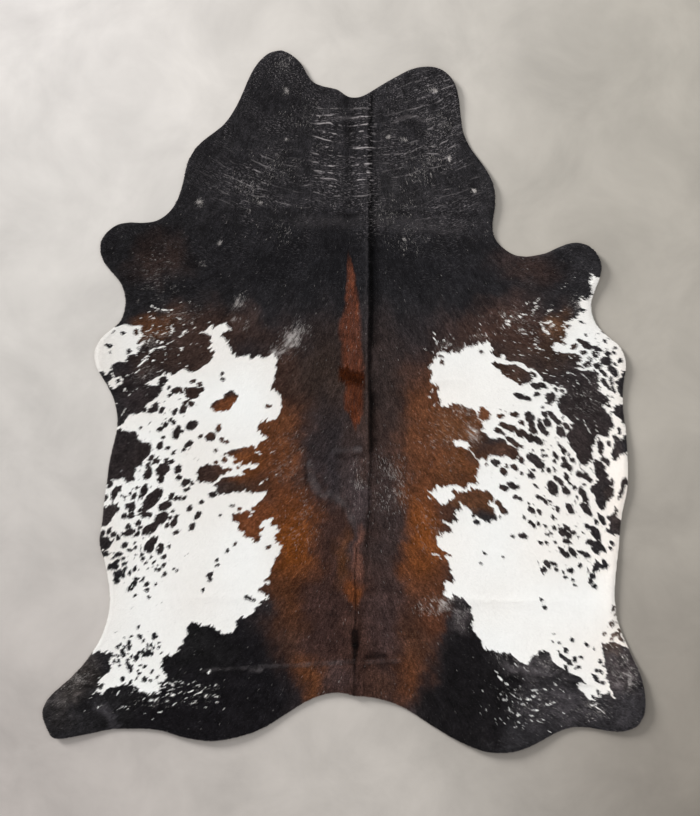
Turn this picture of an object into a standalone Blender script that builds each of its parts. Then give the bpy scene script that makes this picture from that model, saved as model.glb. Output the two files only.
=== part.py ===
"""Cowhide rug: one whole tanned hide with its hair on, lying hair side up on a floor.

The hide is one closed sheet with its underside on z = 0 and +Z up. The neck is at +Y, the rump at -Y, and a foreleg
and a hind leg reach out on each side. Its edge is a smooth closed curve. The sheet keeps its thickness while it
rises over the fold along the spine, the creases left by shipping it folded, and the lobes that curl off the floor.
"""

import math

import bmesh
import bpy
import numpy as np
from mathutils import Vector
from mathutils.geometry import delaunay_2d_cdt

CM = 0.01
MM = 0.001

# Driving sizes: a hide 2.25 m long and 1.93 m wide, 2 mm of skin under 2.5 mm of hair that lies flat.
SKIN = 2.0 * MM
HAIR = 2.5 * MM
THICKNESS = SKIN + HAIR
RIM_THICKNESS = 2.6 * MM  # the hair thins to this at the cut edge
BEVEL_WIDTH = 8.0 * MM  # from the cut edge to where the hair is at its full depth

# How finely the sheet is divided.
RIM_STEP = 24.0 * MM
FIELD_STEP = 58.0 * MM
CREST_STEP = 30.0 * MM

# The cut edge, clockwise from the top of the left neck lobe, in centimetres.
OUTLINE_CM = {
    "left neck lobe": [(-20.6, 112.3), (-17.1, 111.1), (-13.8, 108.2), (-11.7, 104.6), (-9.9, 102.3)],
    "neck bay": [(-7.0, 101.0), (-4.2, 100.4), (-1.8, 99.7), (0.3, 98.2), (2.1, 97.4), (4.6, 97.4), (6.9, 98.2)],
    "right neck lobe": [
        (9.6, 99.8), (13.2, 102.0), (17.2, 104.2), (21.0, 106.1), (24.6, 107.0), (28.6, 107.0), (32.0, 105.7),
        (34.7, 103.0), (36.2, 99.6), (36.9, 95.5), (37.4, 91.0), (38.1, 86.6), (40.0, 82.0), (42.4, 78.5),
        (45.2, 74.6), (47.5, 70.2), (48.3, 65.8), (48.1, 61.2), (47.5, 57.2),
    ],
    "right armpit": [(47.7, 53.9), (49.1, 51.0), (51.7, 48.6), (54.7, 46.9), (58.0, 46.4), (61.6, 46.8)],
    "right foreleg": [
        (65.2, 47.7), (68.4, 49.2), (71.6, 50.4), (74.6, 50.8), (77.6, 50.1), (80.4, 47.8), (82.0, 44.6),
        (82.2, 42.0), (81.4, 39.0), (80.1, 35.6),
    ],
    "right elbow": [
        (79.0, 32.2), (79.2, 28.0), (81.0, 24.0), (84.4, 20.6), (87.7, 17.9), (89.6, 14.2), (90.0, 10.6), (89.4, 6.6),
    ],
    "right flank": [
        (89.0, 1.0), (89.3, -4.0), (90.0, -9.5), (90.5, -17.0), (90.6, -25.0), (90.1, -30.0), (88.9, -35.2),
        (88.2, -41.0), (87.7, -47.0), (87.0, -53.0), (86.5, -59.0), (86.6, -65.0), (87.5, -70.6),
    ],
    "right hind leg": [
        (89.5, -76.0), (92.1, -81.6), (94.4, -86.6), (95.8, -91.6), (96.3, -96.6), (95.7, -100.6), (93.8, -103.6),
        (90.6, -105.1), (86.9, -105.5), (82.4, -105.0),
    ],
    "right rump lobe": [
        (78.4, -104.2), (74.4, -104.0), (70.4, -104.8), (66.9, -106.3), (62.4, -108.8), (57.9, -110.9),
        (53.7, -112.0), (49.4, -112.3), (44.9, -111.8), (39.4, -109.8), (33.9, -107.0), (28.4, -103.7), (23.9, -100.7),
    ],
    "tail bay": [
        (19.9, -98.2), (15.4, -96.2), (10.4, -94.8), (6.2, -94.2), (3.2, -94.0), (0.8, -93.3), (-2.1, -93.0),
        (-5.3, -93.3), (-9.1, -94.5),
    ],
    "left rump lobe": [
        (-13.6, -96.7), (-19.6, -100.5), (-24.6, -103.7), (-29.9, -106.0), (-35.8, -107.6), (-41.6, -108.4),
        (-46.8, -108.1), (-52.4, -107.0), (-57.1, -105.5), (-61.8, -104.7),
    ],
    "left hind leg": [
        (-67.4, -104.6), (-73.9, -104.7), (-79.6, -105.8), (-85.6, -107.0), (-91.6, -107.8), (-93.6, -106.9),
        (-95.1, -103.9), (-96.2, -100.8), (-96.1, -98.6), (-94.9, -95.6), (-92.1, -92.5), (-87.6, -88.6),
        (-83.6, -84.5), (-80.6, -80.6), (-78.0, -76.4),
    ],
    "left flank": [
        (-75.8, -70.6), (-74.8, -65.5), (-74.8, -60.5), (-75.6, -55.0), (-76.6, -50.4), (-77.7, -47.2),
        (-78.0, -44.0), (-77.4, -40.2), (-76.9, -35.6), (-76.3, -30.0), (-75.6, -25.0), (-75.0, -20.0),
        (-73.9, -15.0), (-72.7, -10.0), (-72.3, -6.0),
    ],
    "left elbow": [
        (-72.8, -2.0), (-74.0, 2.0), (-75.6, 5.2), (-77.4, 8.2), (-78.9, 11.0), (-79.6, 14.0), (-79.3, 17.0),
        (-77.5, 20.1), (-74.5, 22.9), (-71.9, 25.0),
    ],
    "left foreleg": [
        (-70.5, 27.6), (-69.8, 31.0), (-70.1, 34.8), (-71.6, 38.4), (-74.0, 41.3), (-76.5, 44.5), (-77.8, 48.0),
        (-77.6, 51.0), (-76.2, 53.6), (-74.1, 55.6), (-71.7, 56.8), (-68.6, 57.3), (-64.8, 57.2), (-61.4, 57.5),
    ],
    "left neck flank": [
        (-58.9, 58.4), (-56.3, 60.3), (-54.3, 62.7), (-52.6, 66.2), (-51.4, 70.2), (-50.6, 74.0), (-49.5, 77.6),
        (-47.7, 80.7), (-45.0, 83.5), (-42.0, 85.8), (-39.2, 88.0), (-36.6, 91.0), (-34.2, 95.0), (-32.3, 99.0),
        (-30.6, 103.0), (-28.9, 106.3), (-26.7, 109.2), (-24.0, 111.4),
    ],
}

# The fold along the spine: how far down the hide, its place across, and its height. It leans to the right: the left
# side climbs slowly and the right side drops at once.
SPINE_ROWS = [
    # y cm, x cm, height mm
    (98.5, 8.1, 3.0),
    (86.0, 7.8, 4.0),
    (70.0, 7.9, 5.5),
    (55.0, 7.8, 8.0),
    (38.0, 7.6, 10.5),
    (26.0, 7.5, 10.0),
    (12.0, 7.6, 4.5),
    (2.0, 7.9, 7.5),
    (-12.0, 8.0, 7.0),
    (-20.0, 7.8, 3.5),
    (-40.0, 7.2, 2.6),
    (-58.0, 5.6, 2.2),
    (-74.0, 3.9, 3.0),
    (-93.5, 3.4, 2.4),
]
SPINE_RISE = 38.0 * MM
SPINE_DROP = 14.0 * MM

# Creases left by shipping the hide folded, and two soft wrinkles.
CREASES = [
    # from (x, y) cm, to (x, y) cm, height mm, width mm on each side
    ((-34.0, 62.6), (47.0, 60.4), 2.6, 15.0),
    ((-26.0, 8.4), (44.0, 6.6), 1.4, 18.0),
    ((-74.0, -62.4), (86.0, -64.2), 1.2, 22.0),
    ((-34.0, -86.6), (26.0, -83.2), 3.4, 14.0),
    ((47.0, -87.8), (81.0, -90.8), 4.6, 13.0),
    ((-79.6, -91.0), (-73.4, -104.5), 5.0, 26.0),
    ((-12.0, -22.0), (2.5, -35.0), 3.0, 20.0),
]

# Where the edge curls off the floor.
CURLS = [
    # place (x, y) cm, lift mm, reach cm
    ((-20.6, 112.3), 7.0, 20.0),
    ((33.0, 105.0), 9.0, 18.0),
    ((48.0, 66.0), 7.0, 17.0),
    ((-50.0, 77.0), 4.0, 16.0),
    ((-77.0, 51.0), 6.0, 17.0),
    ((81.0, 46.0), 11.0, 18.0),
    ((89.0, 13.0), 7.0, 18.0),
    ((90.6, -22.0), 8.0, 24.0),
    ((86.5, -58.0), 5.0, 16.0),
    ((95.0, -98.0), 11.0, 20.0),
    ((51.0, -112.0), 9.0, 26.0),
    ((4.0, -94.0), 6.0, 22.0),
    ((-43.0, -108.0), 9.0, 26.0),
    ((-95.0, -102.0), 9.0, 20.0),
    ((-78.0, -44.0), 5.0, 20.0),
    ((-79.0, 14.0), 6.0, 16.0),
]
EDGE_LIFT = 1.0 * MM  # the least lift along the whole edge
CURL_DEPTH = 12.0 * CM  # how far in from the edge a curl reaches


def closed_curve(points, step):
    """Points about step apart on the smooth closed curve through the given points."""
    count = len(points)
    found = []
    for i in range(count):
        before, start, end, after = (points[(i + k) % count] for k in (-1, 0, 1, 2))
        pieces = max(1, round((end - start).length / step))
        for k in range(pieces):
            t = k / pieces
            found.append(
                0.5
                * (
                    2 * start
                    + (end - before) * t
                    + (2 * before - 5 * start + 4 * end - after) * t * t
                    + (3 * start - before - 3 * end + after) * t * t * t
                )
            )
    return found


def edge_curve():
    """The cut edge anticlockwise, with the middle of its bounding box at the origin."""
    points = [Vector(p) * CM for part in OUTLINE_CM.values() for p in part]
    curve = closed_curve(points, RIM_STEP)[::-1]
    middle = Vector((sum(f(p.x for p in curve) for f in (min, max)), sum(f(p.y for p in curve) for f in (min, max)))) / 2
    return [p - middle for p in curve]


def inset_curve(curve, distance):
    """The curve moved inwards by that distance."""
    count = len(curve)
    moved = []
    for i, point in enumerate(curve):
        along = (curve[(i + 1) % count] - curve[i - 1]).normalized()
        moved.append(point + Vector((-along.y, along.x)) * distance)
    return moved


def smooth_step(value):
    value = np.clip(value, 0.0, 1.0)
    return value * value * (3.0 - 2.0 * value)


def distance_to_path(xy, path):
    """How far each point is from a path of straight pieces."""
    best = np.full(len(xy), np.inf)
    for a, b in zip(path[:-1], path[1:]):
        along = b - a
        t = np.clip(((xy - a) @ along) / (along @ along), 0.0, 1.0)
        best = np.minimum(best, np.linalg.norm(xy - a - t[:, None] * along, axis=1))
    return best


def inside_path(xy, path):
    """True for each point inside a closed path."""
    inside = np.zeros(len(xy), bool)
    for a, b in zip(path, np.roll(path, -1, axis=0)):
        crosses = (a[1] > xy[:, 1]) != (b[1] > xy[:, 1])
        at = a[0] + (xy[:, 1] - a[1]) * (b[0] - a[0]) / np.where(crosses, b[1] - a[1], 1.0)
        inside ^= crosses & (xy[:, 0] < at)
    return inside


def spine_height(xy):
    """The fold along the spine."""
    rows = np.array(SPINE_ROWS[::-1])
    down, across, high = rows[:, 0] * CM, rows[:, 1] * CM, rows[:, 2] * MM
    side = xy[:, 0] - np.interp(xy[:, 1], down, across)
    width = np.where(side < 0, SPINE_RISE, SPINE_DROP)
    return np.interp(xy[:, 1], down, high) * smooth_step(1.0 - np.abs(side) / width)


def crease_height(xy):
    """The tallest of the creases at each point, each fading to nothing at its ends."""
    tallest = np.zeros(len(xy))
    for start, end, high, width in CREASES:
        a, b = np.array(start) * CM, np.array(end) * CM
        along = b - a
        t = ((xy - a) @ along) / (along @ along)
        side = np.abs((xy - a) @ np.array((-along[1], along[0]))) / np.linalg.norm(along)
        fade = smooth_step(4.0 * t) * smooth_step(4.0 * (1.0 - t))
        tallest = np.maximum(tallest, high * MM * fade * smooth_step(1.0 - side / (width * MM)))
    return tallest


def curl_height(xy, edge):
    """How far the edge has curled off the floor."""
    from_edge = distance_to_path(xy, np.vstack((edge, edge[:1])))
    lift = np.full(len(xy), EDGE_LIFT)
    for place, high, reach in CURLS:
        away = np.linalg.norm(xy - np.array(place) * CM, axis=1) / (reach * CM)
        lift += high * MM * np.exp(-2.0 * away * away)
    return lift * smooth_step(1.0 - from_edge / CURL_DEPTH) ** 2


def underside_height(xy, edge):
    return np.maximum(spine_height(xy), crease_height(xy)) + curl_height(xy, edge)


def fold_points():
    """Rows of points on each crest and down both its sides, so that the sheet bends there."""
    found = []
    downs = np.arange(SPINE_ROWS[-1][0] * CM + CREST_STEP, SPINE_ROWS[0][0] * CM, CREST_STEP)
    across = np.interp(downs, [r[0] * CM for r in SPINE_ROWS[::-1]], [r[1] * CM for r in SPINE_ROWS[::-1]])
    for share, width in ((-1.0, SPINE_RISE), (-0.45, SPINE_RISE), (0.0, 1.0), (0.5, SPINE_DROP), (1.0, SPINE_DROP)):
        found.append(np.column_stack((across + share * width, downs)))
    for start, end, _, width in CREASES:
        a, b = np.array(start) * CM, np.array(end) * CM
        along = b - a
        beside = np.array((-along[1], along[0])) / np.linalg.norm(along) * width * MM
        steps = np.linspace(0.0, 1.0, max(3, round(np.linalg.norm(along) / (1.4 * CREST_STEP))))
        for share in (-1.0, 0.0, 1.0):
            found.append(a + steps[:, None] * along + share * beside)
    return found


def spread_out(groups, taken, least):
    """The points of each group in turn, less those within least of one that is already there."""
    kept = [np.array(taken)]
    for group in groups:
        for point in group:
            if min(np.linalg.norm(k - point, axis=1).min() for k in kept if len(k)) >= least:
                kept.append(point[None, :])
    return np.vstack(kept[1:])


def field_points(edge):
    """Points in even rows, each row half a step across from the last, that lie inside the edge."""
    low, high = edge.min(axis=0), edge.max(axis=0)
    rows = []
    for i, y in enumerate(np.arange(low[1], high[1], FIELD_STEP * math.sqrt(3) / 2)):
        x = np.arange(low[0] + (i % 2) * FIELD_STEP / 2, high[0], FIELD_STEP)
        rows.append(np.column_stack((x, np.full(len(x), y))))
    return np.vstack(rows)


def sheet_faces(edge, inner):
    """The sheet seen from above: its points, the edge's first, and its triangles."""
    loose = spread_out([np.vstack(fold_points())], inner, 9.0 * MM)
    field = field_points(edge)
    near = np.linalg.norm(field[:, None] - np.vstack((inner, loose))[None], axis=2).min(axis=1)
    loose = np.vstack((loose, field[near > 0.55 * FIELD_STEP]))
    clear = distance_to_path(loose, np.vstack((inner, inner[:1]))) > 10.0 * MM
    loose = loose[inside_path(loose, inner) & clear]
    flat = np.vstack((edge, inner, loose))
    rim, count = list(range(len(edge))), len(edge)
    rings = [(i, (i + 1) % count) for i in rim] + [(count + i, count + (i + 1) % count) for i in rim]
    points, _, faces, *_ = delaunay_2d_cdt([Vector(p) for p in flat], rings, [rim], 1, 1e-6)
    return np.array(points), faces


def hide_mesh():
    """The closed sheet: underside, hair side and the cut edge between them."""
    curve = edge_curve()
    edge = np.array(curve)
    inner = np.array(inset_curve(curve, BEVEL_WIDTH))
    flat, faces = sheet_faces(edge, inner)
    low = underside_height(flat, edge)
    from_edge = distance_to_path(flat, np.vstack((edge, edge[:1])))
    thick = RIM_THICKNESS + (THICKNESS - RIM_THICKNESS) * np.clip(from_edge / BEVEL_WIDTH, 0.0, 1.0)
    count = len(flat)
    verts = np.vstack((np.column_stack((flat, low)), np.column_stack((flat, low + thick))))
    under = [tuple(reversed(f)) for f in faces]
    over = [tuple(v + count for v in f) for f in faces]
    rim = len(edge)
    wall = [(i, (i + 1) % rim, (i + 1) % rim + count, i + count) for i in range(rim)]
    mesh = bpy.data.meshes.new("hide")
    mesh.from_pydata(verts.tolist(), [], under + over + wall)
    return mesh


def hide_material():
    """Short glossy hair, taken at its average colour over the whole hide."""
    material = bpy.data.materials.new("hide_hair")
    material.use_nodes = True
    shader = material.node_tree.nodes["Principled BSDF"]
    shader.inputs["Base Color"].default_value = (0.11, 0.08, 0.07, 1.0)
    shader.inputs["Roughness"].default_value = 0.55
    shader.inputs["Metallic"].default_value = 0.0
    return material


def closed_outwards(mesh):
    """Makes sure that every face points out, and shades the hair side smooth up to the cut edge."""
    shape = bmesh.new()
    shape.from_mesh(mesh)
    bmesh.ops.recalc_face_normals(shape, faces=shape.faces)
    shape.to_mesh(mesh)
    shape.free()
    mesh.shade_smooth()
    mesh.set_sharp_from_angle(angle=math.radians(40))


def main():
    for old in list(bpy.data.objects):
        bpy.data.objects.remove(old)
    mesh = hide_mesh()
    closed_outwards(mesh)
    mesh.materials.append(hide_material())
    hide = bpy.data.objects.new("hide", mesh)
    bpy.context.scene.collection.objects.link(hide)


main()
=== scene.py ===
"""The cowhide rug as it looks: a tanned hide with short hair on it, seen straight from above on a pale floor.

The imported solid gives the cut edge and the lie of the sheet. On it this script lays the skin, which is
suede below, and a pile of short flat hairs that all run from the spine outwards and towards the tail. The
markings of the coat are charted below in centimetres, and each hair takes its colour from the place where
it shows.
"""

import math

import bpy
import numpy as np
from mathutils import Matrix, Vector
from mathutils.bvhtree import BVHTree
from mathutils.geometry import delaunay_2d_cdt
from mathutils.kdtree import KDTree


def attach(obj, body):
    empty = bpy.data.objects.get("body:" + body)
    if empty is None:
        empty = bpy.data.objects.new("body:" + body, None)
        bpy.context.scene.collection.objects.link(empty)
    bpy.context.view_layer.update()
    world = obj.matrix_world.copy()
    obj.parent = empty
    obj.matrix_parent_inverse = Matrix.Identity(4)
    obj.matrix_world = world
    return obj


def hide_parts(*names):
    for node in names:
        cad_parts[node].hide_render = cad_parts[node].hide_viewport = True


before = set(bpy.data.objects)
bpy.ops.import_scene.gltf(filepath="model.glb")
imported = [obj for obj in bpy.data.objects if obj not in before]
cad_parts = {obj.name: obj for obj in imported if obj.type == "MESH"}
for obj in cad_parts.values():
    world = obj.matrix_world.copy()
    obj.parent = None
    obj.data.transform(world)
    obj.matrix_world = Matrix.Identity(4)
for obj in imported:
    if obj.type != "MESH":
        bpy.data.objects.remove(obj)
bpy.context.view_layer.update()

CM = 0.01
MM = 0.001
CHART_TO_ROW_CM = 0.3  # the chart's x plus this is the row frame's x

# The skin.
FLAT_SIZE = (1.925, 2.246)  # the hide laid flat, in metres
RIM_STEP = 4.0 * MM
SKIN_STEP = 9.0 * MM
FIELD_STEP = 4.0 * MM
LEAST_BELOW_TOP = 0.5 * MM  # the solid's top is where the hair ends, and the skin lies under it
SKIN_BELOW_TOP = 1.2 * MM  # so much deeper away from the edge
LEAST_SKIN = 1.2 * MM
CUT_EDGE = 2.5 * MM  # the height of the wall round it

# The pile on it. Every hair is one narrow triangle, root to tip.
HAIR_LENGTH = 10.0 * MM
HAIR_WIDTH = 1.9 * MM
HAIR_SPACING = 2.0 * MM
HAIR_INSET = 0.6 * MM  # from the cut edge to the first roots
HAIR_OVERHANG = 3.0 * MM
HAIR_RISE = 1.3 * MM
WHITE_LIFT = 0.4  # white hair lies flatter: this share of the rise and depth of dark hair
SHOWN_AT = 0.7  # where along its length a hair shows most
ROOT_DEPTH = 0.4 * MM
ROOT_TONE = 0.88  # hair is a little darker at its root
PALE_HAIR = (206, 200, 196)
STRAY_HAIRS, ROAN_HAIRS = 0.0015, 0.42  # the share of pale hairs anywhere, and where the chart of them says 1
MOST_HAIRS_A_PIECE = 196_000
PILE_PIECES = ("hair_neck", "hair_shoulders", "hair_flanks", "hair_rump")

rng = np.random.default_rng(20)  # used for the hairs alone, in the order in which lay_hair makes them


# ------------------------------------------------------------------ the coat's markings
# The charts are placed in centimetres. Every shape is given where it shows, seen from above with the
# neck at +Y. A patch that meets the cut edge runs past it.

WHITE_PATCHES = {
    "left side": [
        (-84, -8), (-72.4, -7.9), (-71, -7.2), (-69.8, -5.2), (-69, -4.1), (-67, -4.2), (-65.4, -3.5),
        (-64, -1.5), (-62.5, -0.1), (-60.5, 0.8), (-59.1, 2.8), (-59.2, 4.5), (-60.4, 5), (-62.4, 4.9),
        (-63.6, 6), (-62, 6.6), (-60.6, 8), (-59.2, 8.2), (-58, 9.3), (-57, 8.6), (-56, 9.3), (-54.9, 8.6),
        (-52.8, 10), (-51.2, 10.5), (-50.5, 9.3), (-48, 9.6), (-46.5, 10.1), (-45.4, 11.2), (-43.5, 12.3),
        (-42.2, 13.8), (-41.9, 16), (-43.5, 17.4), (-41.9, 18.6), (-44, 19.5), (-42.8, 20.4), (-44.5, 21.8),
        (-46.4, 22.4), (-44, 22.9), (-43.3, 24.3), (-42, 23.3), (-40.8, 24.6), (-38.2, 24.8), (-36, 22.9),
        (-38, 22.6), (-39.4, 22), (-39, 20.5), (-37.6, 19), (-36.8, 16.6), (-35.3, 15.2), (-33.9, 14.2),
        (-31.8, 14.7), (-30.4, 13.4), (-28, 14.4), (-25.6, 13.6), (-23.4, 14.9), (-21.6, 13.4),
        (-22.4, 11.2), (-22.3, 7.2), (-24.1, 4.6), (-22, 3), (-20.9, 1.6), (-20.4, -2.5), (-21.6, -5.4),
        (-23, -6.4), (-25.5, -6.3), (-28, -6.9), (-28.2, -8), (-27.8, -9.8), (-26.5, -11), (-25, -12.2),
        (-27.5, -13.3), (-28.5, -14.8), (-30.5, -14.6), (-33, -14.9), (-36, -15.8), (-38.4, -16.6),
        (-40.2, -17.8), (-37.6, -17.3), (-36, -17.6), (-35.8, -18.8), (-34, -19.5), (-32.6, -20.2),
        (-30.5, -20.4), (-28.4, -19.9), (-28.6, -21.4), (-30.6, -22.7), (-32.4, -23.6), (-34.5, -23.5),
        (-37.5, -24.4), (-40.5, -25.5), (-42.4, -27.4), (-41, -29.6), (-38, -29.8), (-35.5, -29.3),
        (-33, -28.7), (-30, -29.6), (-25.4, -29.1), (-26.2, -31), (-28, -32.8), (-30.5, -34.2),
        (-29.4, -35.3), (-31.4, -35.2), (-33, -34.9), (-34.5, -35.8), (-36.3, -36), (-35.7, -38),
        (-34.2, -39.4), (-34.5, -41), (-32.9, -41.8), (-33, -43.6), (-31, -44), (-28.8, -44.9),
        (-27, -44.2), (-26.5, -42.8), (-27.9, -42.3), (-26.6, -41.4), (-25.7, -40.4), (-27.6, -40),
        (-27, -38.9), (-24.6, -37.5), (-23.3, -37.4), (-23.8, -39.4), (-21.9, -40.3), (-21.4, -42),
        (-23, -43.5), (-22.3, -45.3), (-20.9, -46.5), (-20.6, -47.6), (-21.5, -49.2), (-23, -50.5),
        (-22.6, -52.2), (-23.7, -53.5), (-24.4, -55.6), (-25.6, -57), (-24.3, -58.6), (-26.4, -59.4),
        (-28.4, -60.8), (-26.4, -61.9), (-24.4, -63), (-27.5, -64.2), (-26.8, -65.4), (-29, -66.4),
        (-29.6, -68.2), (-31.8, -69.4), (-33, -68.8), (-35.2, -70.2), (-34.4, -72), (-36.4, -74),
        (-38, -74.4), (-40, -74.2), (-41.6, -73.6), (-42.4, -72), (-44, -71.6), (-45.4, -71.8),
        (-47, -71.2), (-49.6, -70.8), (-50.4, -72), (-51, -73.4), (-51.2, -75.4), (-52.6, -77),
        (-52.4, -78), (-53.8, -79.2), (-53.6, -80.4), (-55, -81), (-57, -81.2), (-59, -82.8),
        (-58.6, -83.2), (-58.8, -84.6), (-58.4, -85.6), (-59, -86), (-58.6, -87.6), (-57, -88.4),
        (-58.5, -89.6), (-60.3, -90), (-59.6, -91), (-60.5, -93), (-61.8, -93.3), (-62.8, -94.4),
        (-63.5, -93), (-65, -93.8), (-66.8, -93), (-66.2, -91.6), (-67.6, -91.2), (-69.5, -90.6),
        (-71, -90.4), (-72.6, -91.4), (-74, -91.2), (-75.3, -91.6), (-76.5, -92.2), (-77.6, -93.8),
        (-79, -93.2), (-79.4, -92.6), (-79, -91), (-78.4, -89), (-77.6, -87.8), (-75.8, -87.2),
        (-75.4, -85.5), (-75.2, -83.5), (-75, -81.8), (-75.2, -80), (-76.2, -80.8), (-77, -79.8),
        (-78, -80.8), (-79, -79.8), (-80, -80.6), (-84, -79),
    ],
    "left elbow": [
        (-84, 24), (-74, 23.9), (-70, 24.2), (-65.2, 24.2), (-65, 21), (-66.8, 19.6), (-66.4, 18.2),
        (-64.2, 19.6), (-66.6, 16.8), (-67.2, 15), (-69.8, 14.6), (-70.4, 12.4), (-72.4, 12.9), (-74.6, 12),
        (-75.2, 9.6), (-76.6, 8.6), (-78.4, 9.2), (-84, 9.5),
    ],
    "below the left elbow": [
        (-74.9, 9.4), (-74.3, 7.6), (-72, 7.7), (-71.2, 6.8), (-72.3, 5.4), (-73.5, 4.2), (-74.8, 4.3),
        (-76.2, 5.2), (-75.5, 7.4),
    ],
    "right side": [
        (26.4, 11), (27.5, 11.6), (28.8, 13), (28.8, 14), (30.5, 15), (30.6, 16.2), (33, 15.7),
        (35.5, 15.7), (37.5, 16.2), (39, 17.4), (41.5, 17.8), (43.5, 18.7), (44.5, 18.4), (46.5, 19),
        (46.8, 17.6), (47.6, 16.6), (46.9, 15.6), (47.2, 14.8), (48.6, 14), (50, 13.4), (50.6, 14.9),
        (51.6, 14.6), (51.4, 13.3), (52.6, 12.7), (53.6, 13), (55.6, 12.7), (57.4, 11.6), (59.4, 10.5),
        (60.9, 9.8), (61.9, 8.9), (62.7, 7.6), (63.2, 6.6), (65, 6), (65.4, 4.9), (67.6, 4.9), (70.9, 3.7),
        (70.9, 2.6), (69.6, 1.7), (68.4, 0.8), (67.6, -0.4), (68, -1.6), (69, -2.6), (69.8, -4), (70.9, -5),
        (72.1, -6.2), (73.8, -7.4), (72.6, -8.1), (71.6, -9.3), (72, -10.2), (71, -11), (71.4, -12.4),
        (72.2, -14), (73, -15.8), (74.2, -17.8), (75, -19.6), (76.2, -20.4), (77.6, -20.4), (78.6, -19.4),
        (79.6, -18.4), (79.2, -15.2), (79.9, -13.6), (80.1, -11.6), (81.2, -10.9), (83.2, -11),
        (84.8, -11.6), (84.6, -10.8), (85.2, -9.6), (86, -8.6), (86.2, -6.4), (85.2, -4.8), (84.6, -3.4),
        (83, -2), (83.2, -0.6), (84.8, 0.6), (85, 1.8), (83.6, 1.6), (81.6, 3.4), (82, 4.6), (80.8, 6.2),
        (81.4, 8.6), (80.6, 10.2), (78, 9.6), (75.6, 10), (74.7, 11.2), (75.6, 12.9), (76, 14.4),
        (74.4, 15.4), (72, 15.2), (69.6, 15.8), (67, 16.2), (66.4, 17.6), (67.6, 19.2), (70.6, 17.6),
        (70.2, 19.4), (70.6, 21), (70, 23.4), (70.4, 25.2), (73, 25.6), (75, 27.6), (76.8, 29.4), (75, 31),
        (75, 33.4), (76.8, 32.4), (78.6, 33.4), (79, 35.4), (78.2, 38), (79.4, 40.8), (80.6, 39.4),
        (83, 40.2), (86, 36), (80, 31), (82, 25), (92.5, 17), (94, -20), (94, -60), (93.5, -77.4),
        (90.4, -79), (88, -78), (86.5, -77), (85, -77), (83, -77.6), (82.2, -78.4), (82.6, -81),
        (83.2, -84), (83.8, -87), (84.4, -90), (84.8, -92.2), (84, -93.2), (82, -95), (81.5, -93.8),
        (80.4, -95.8), (78.6, -95.6), (76.8, -94), (75.2, -92), (74.4, -90.4), (76.6, -90.4), (75.6, -89),
        (74.8, -88), (73.4, -87.2), (71.2, -86.6), (70, -85.6), (68.4, -84.8), (67, -83.6), (66, -82),
        (65.6, -80.4), (63.2, -79.9), (62, -81), (60.6, -82.2), (59, -83.2), (57.8, -84), (56, -83),
        (54, -81.6), (53, -80.3), (49.4, -80.6), (47, -80.1), (44.8, -79.6), (44.2, -78), (43.6, -76.4),
        (42.2, -74.4), (41, -73.8), (40.7, -71.4), (40.9, -69.4), (40.6, -67.4), (40.2, -65.2), (39, -63.8),
        (37, -62.8), (34.6, -62.3), (34, -63.4), (32, -62.6), (31.6, -61.6), (32.6, -60), (32.4, -58.4),
        (33, -57.8), (34.8, -58.4), (35.2, -57.2), (34.6, -56), (33.8, -54.6), (34.4, -53.8), (33.2, -51.8),
        (33, -51), (32, -49.6), (34.2, -49.8), (34, -49), (31.8, -48), (30.6, -47), (29.2, -45.8),
        (30.2, -44.2), (31.5, -43.6), (30.6, -43), (33.6, -42.5), (34.2, -41.6), (33.6, -40), (32, -39.2),
        (31, -38.2), (33.4, -39), (35.4, -38.2), (36, -37.6), (35, -36.2), (36, -35.6), (38.2, -35),
        (37.4, -34), (36.4, -32.2), (38, -33.4), (40, -34.8), (42, -36.6), (44.2, -38), (45.6, -39),
        (47.6, -39), (48.8, -38), (48.6, -36.6), (47.6, -34.4), (46, -33.6), (46.4, -32.6), (48, -32),
        (48.2, -31), (46.4, -29.2), (43, -28.2), (40.4, -28), (38, -29.2), (35.6, -28.6), (33.8, -29),
        (35.4, -30.2), (35, -31), (33.6, -32), (32.4, -33.2), (31, -33.2), (29.8, -31.8), (28.6, -31),
        (27, -29.2), (29, -28), (29.2, -27), (32, -27.2), (34, -27.2), (36, -27.4), (38, -28), (40, -26.6),
        (42.6, -26.2), (41.6, -24), (42.6, -23.6), (42.9, -22), (43.2, -20.6), (42.8, -19.4), (40.4, -15.8),
        (42.6, -18.6), (45.5, -18.8), (47, -17.6), (48.6, -17.8), (50.4, -18.4), (52, -17.8), (54, -18.9),
        (55.3, -18.4), (55.8, -16.6), (56.2, -15.4), (54.4, -14.7), (52.4, -14), (51.4, -12.3),
        (50.2, -11.8), (48.4, -12.4), (46.6, -11.8), (46, -10.6), (44.6, -10), (44.4, -8), (43.6, -6.4),
        (42.3, -4), (41.6, -3), (39, -1.9), (36.5, -1), (34.6, -0.7), (32.5, -1.9), (30, -1.2), (31.2, 0),
        (29.8, 0.6), (29.8, 2), (30.2, 3.6), (30.2, 5), (28, 5.6), (27.2, 6.6), (28.6, 8.6), (27.6, 10),
    ],
    "notch in the right band": [
        (35.2, -14.6), (35.6, -13.2), (37.4, -12.9), (39.8, -13.2), (40.3, -14.6), (38.8, -15.2),
        (37, -14.7),
    ],
    "by the right hock": [(84.4, -91.6), (85.4, -92.4), (86.4, -94.9), (85.2, -94.2)],
}

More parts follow.
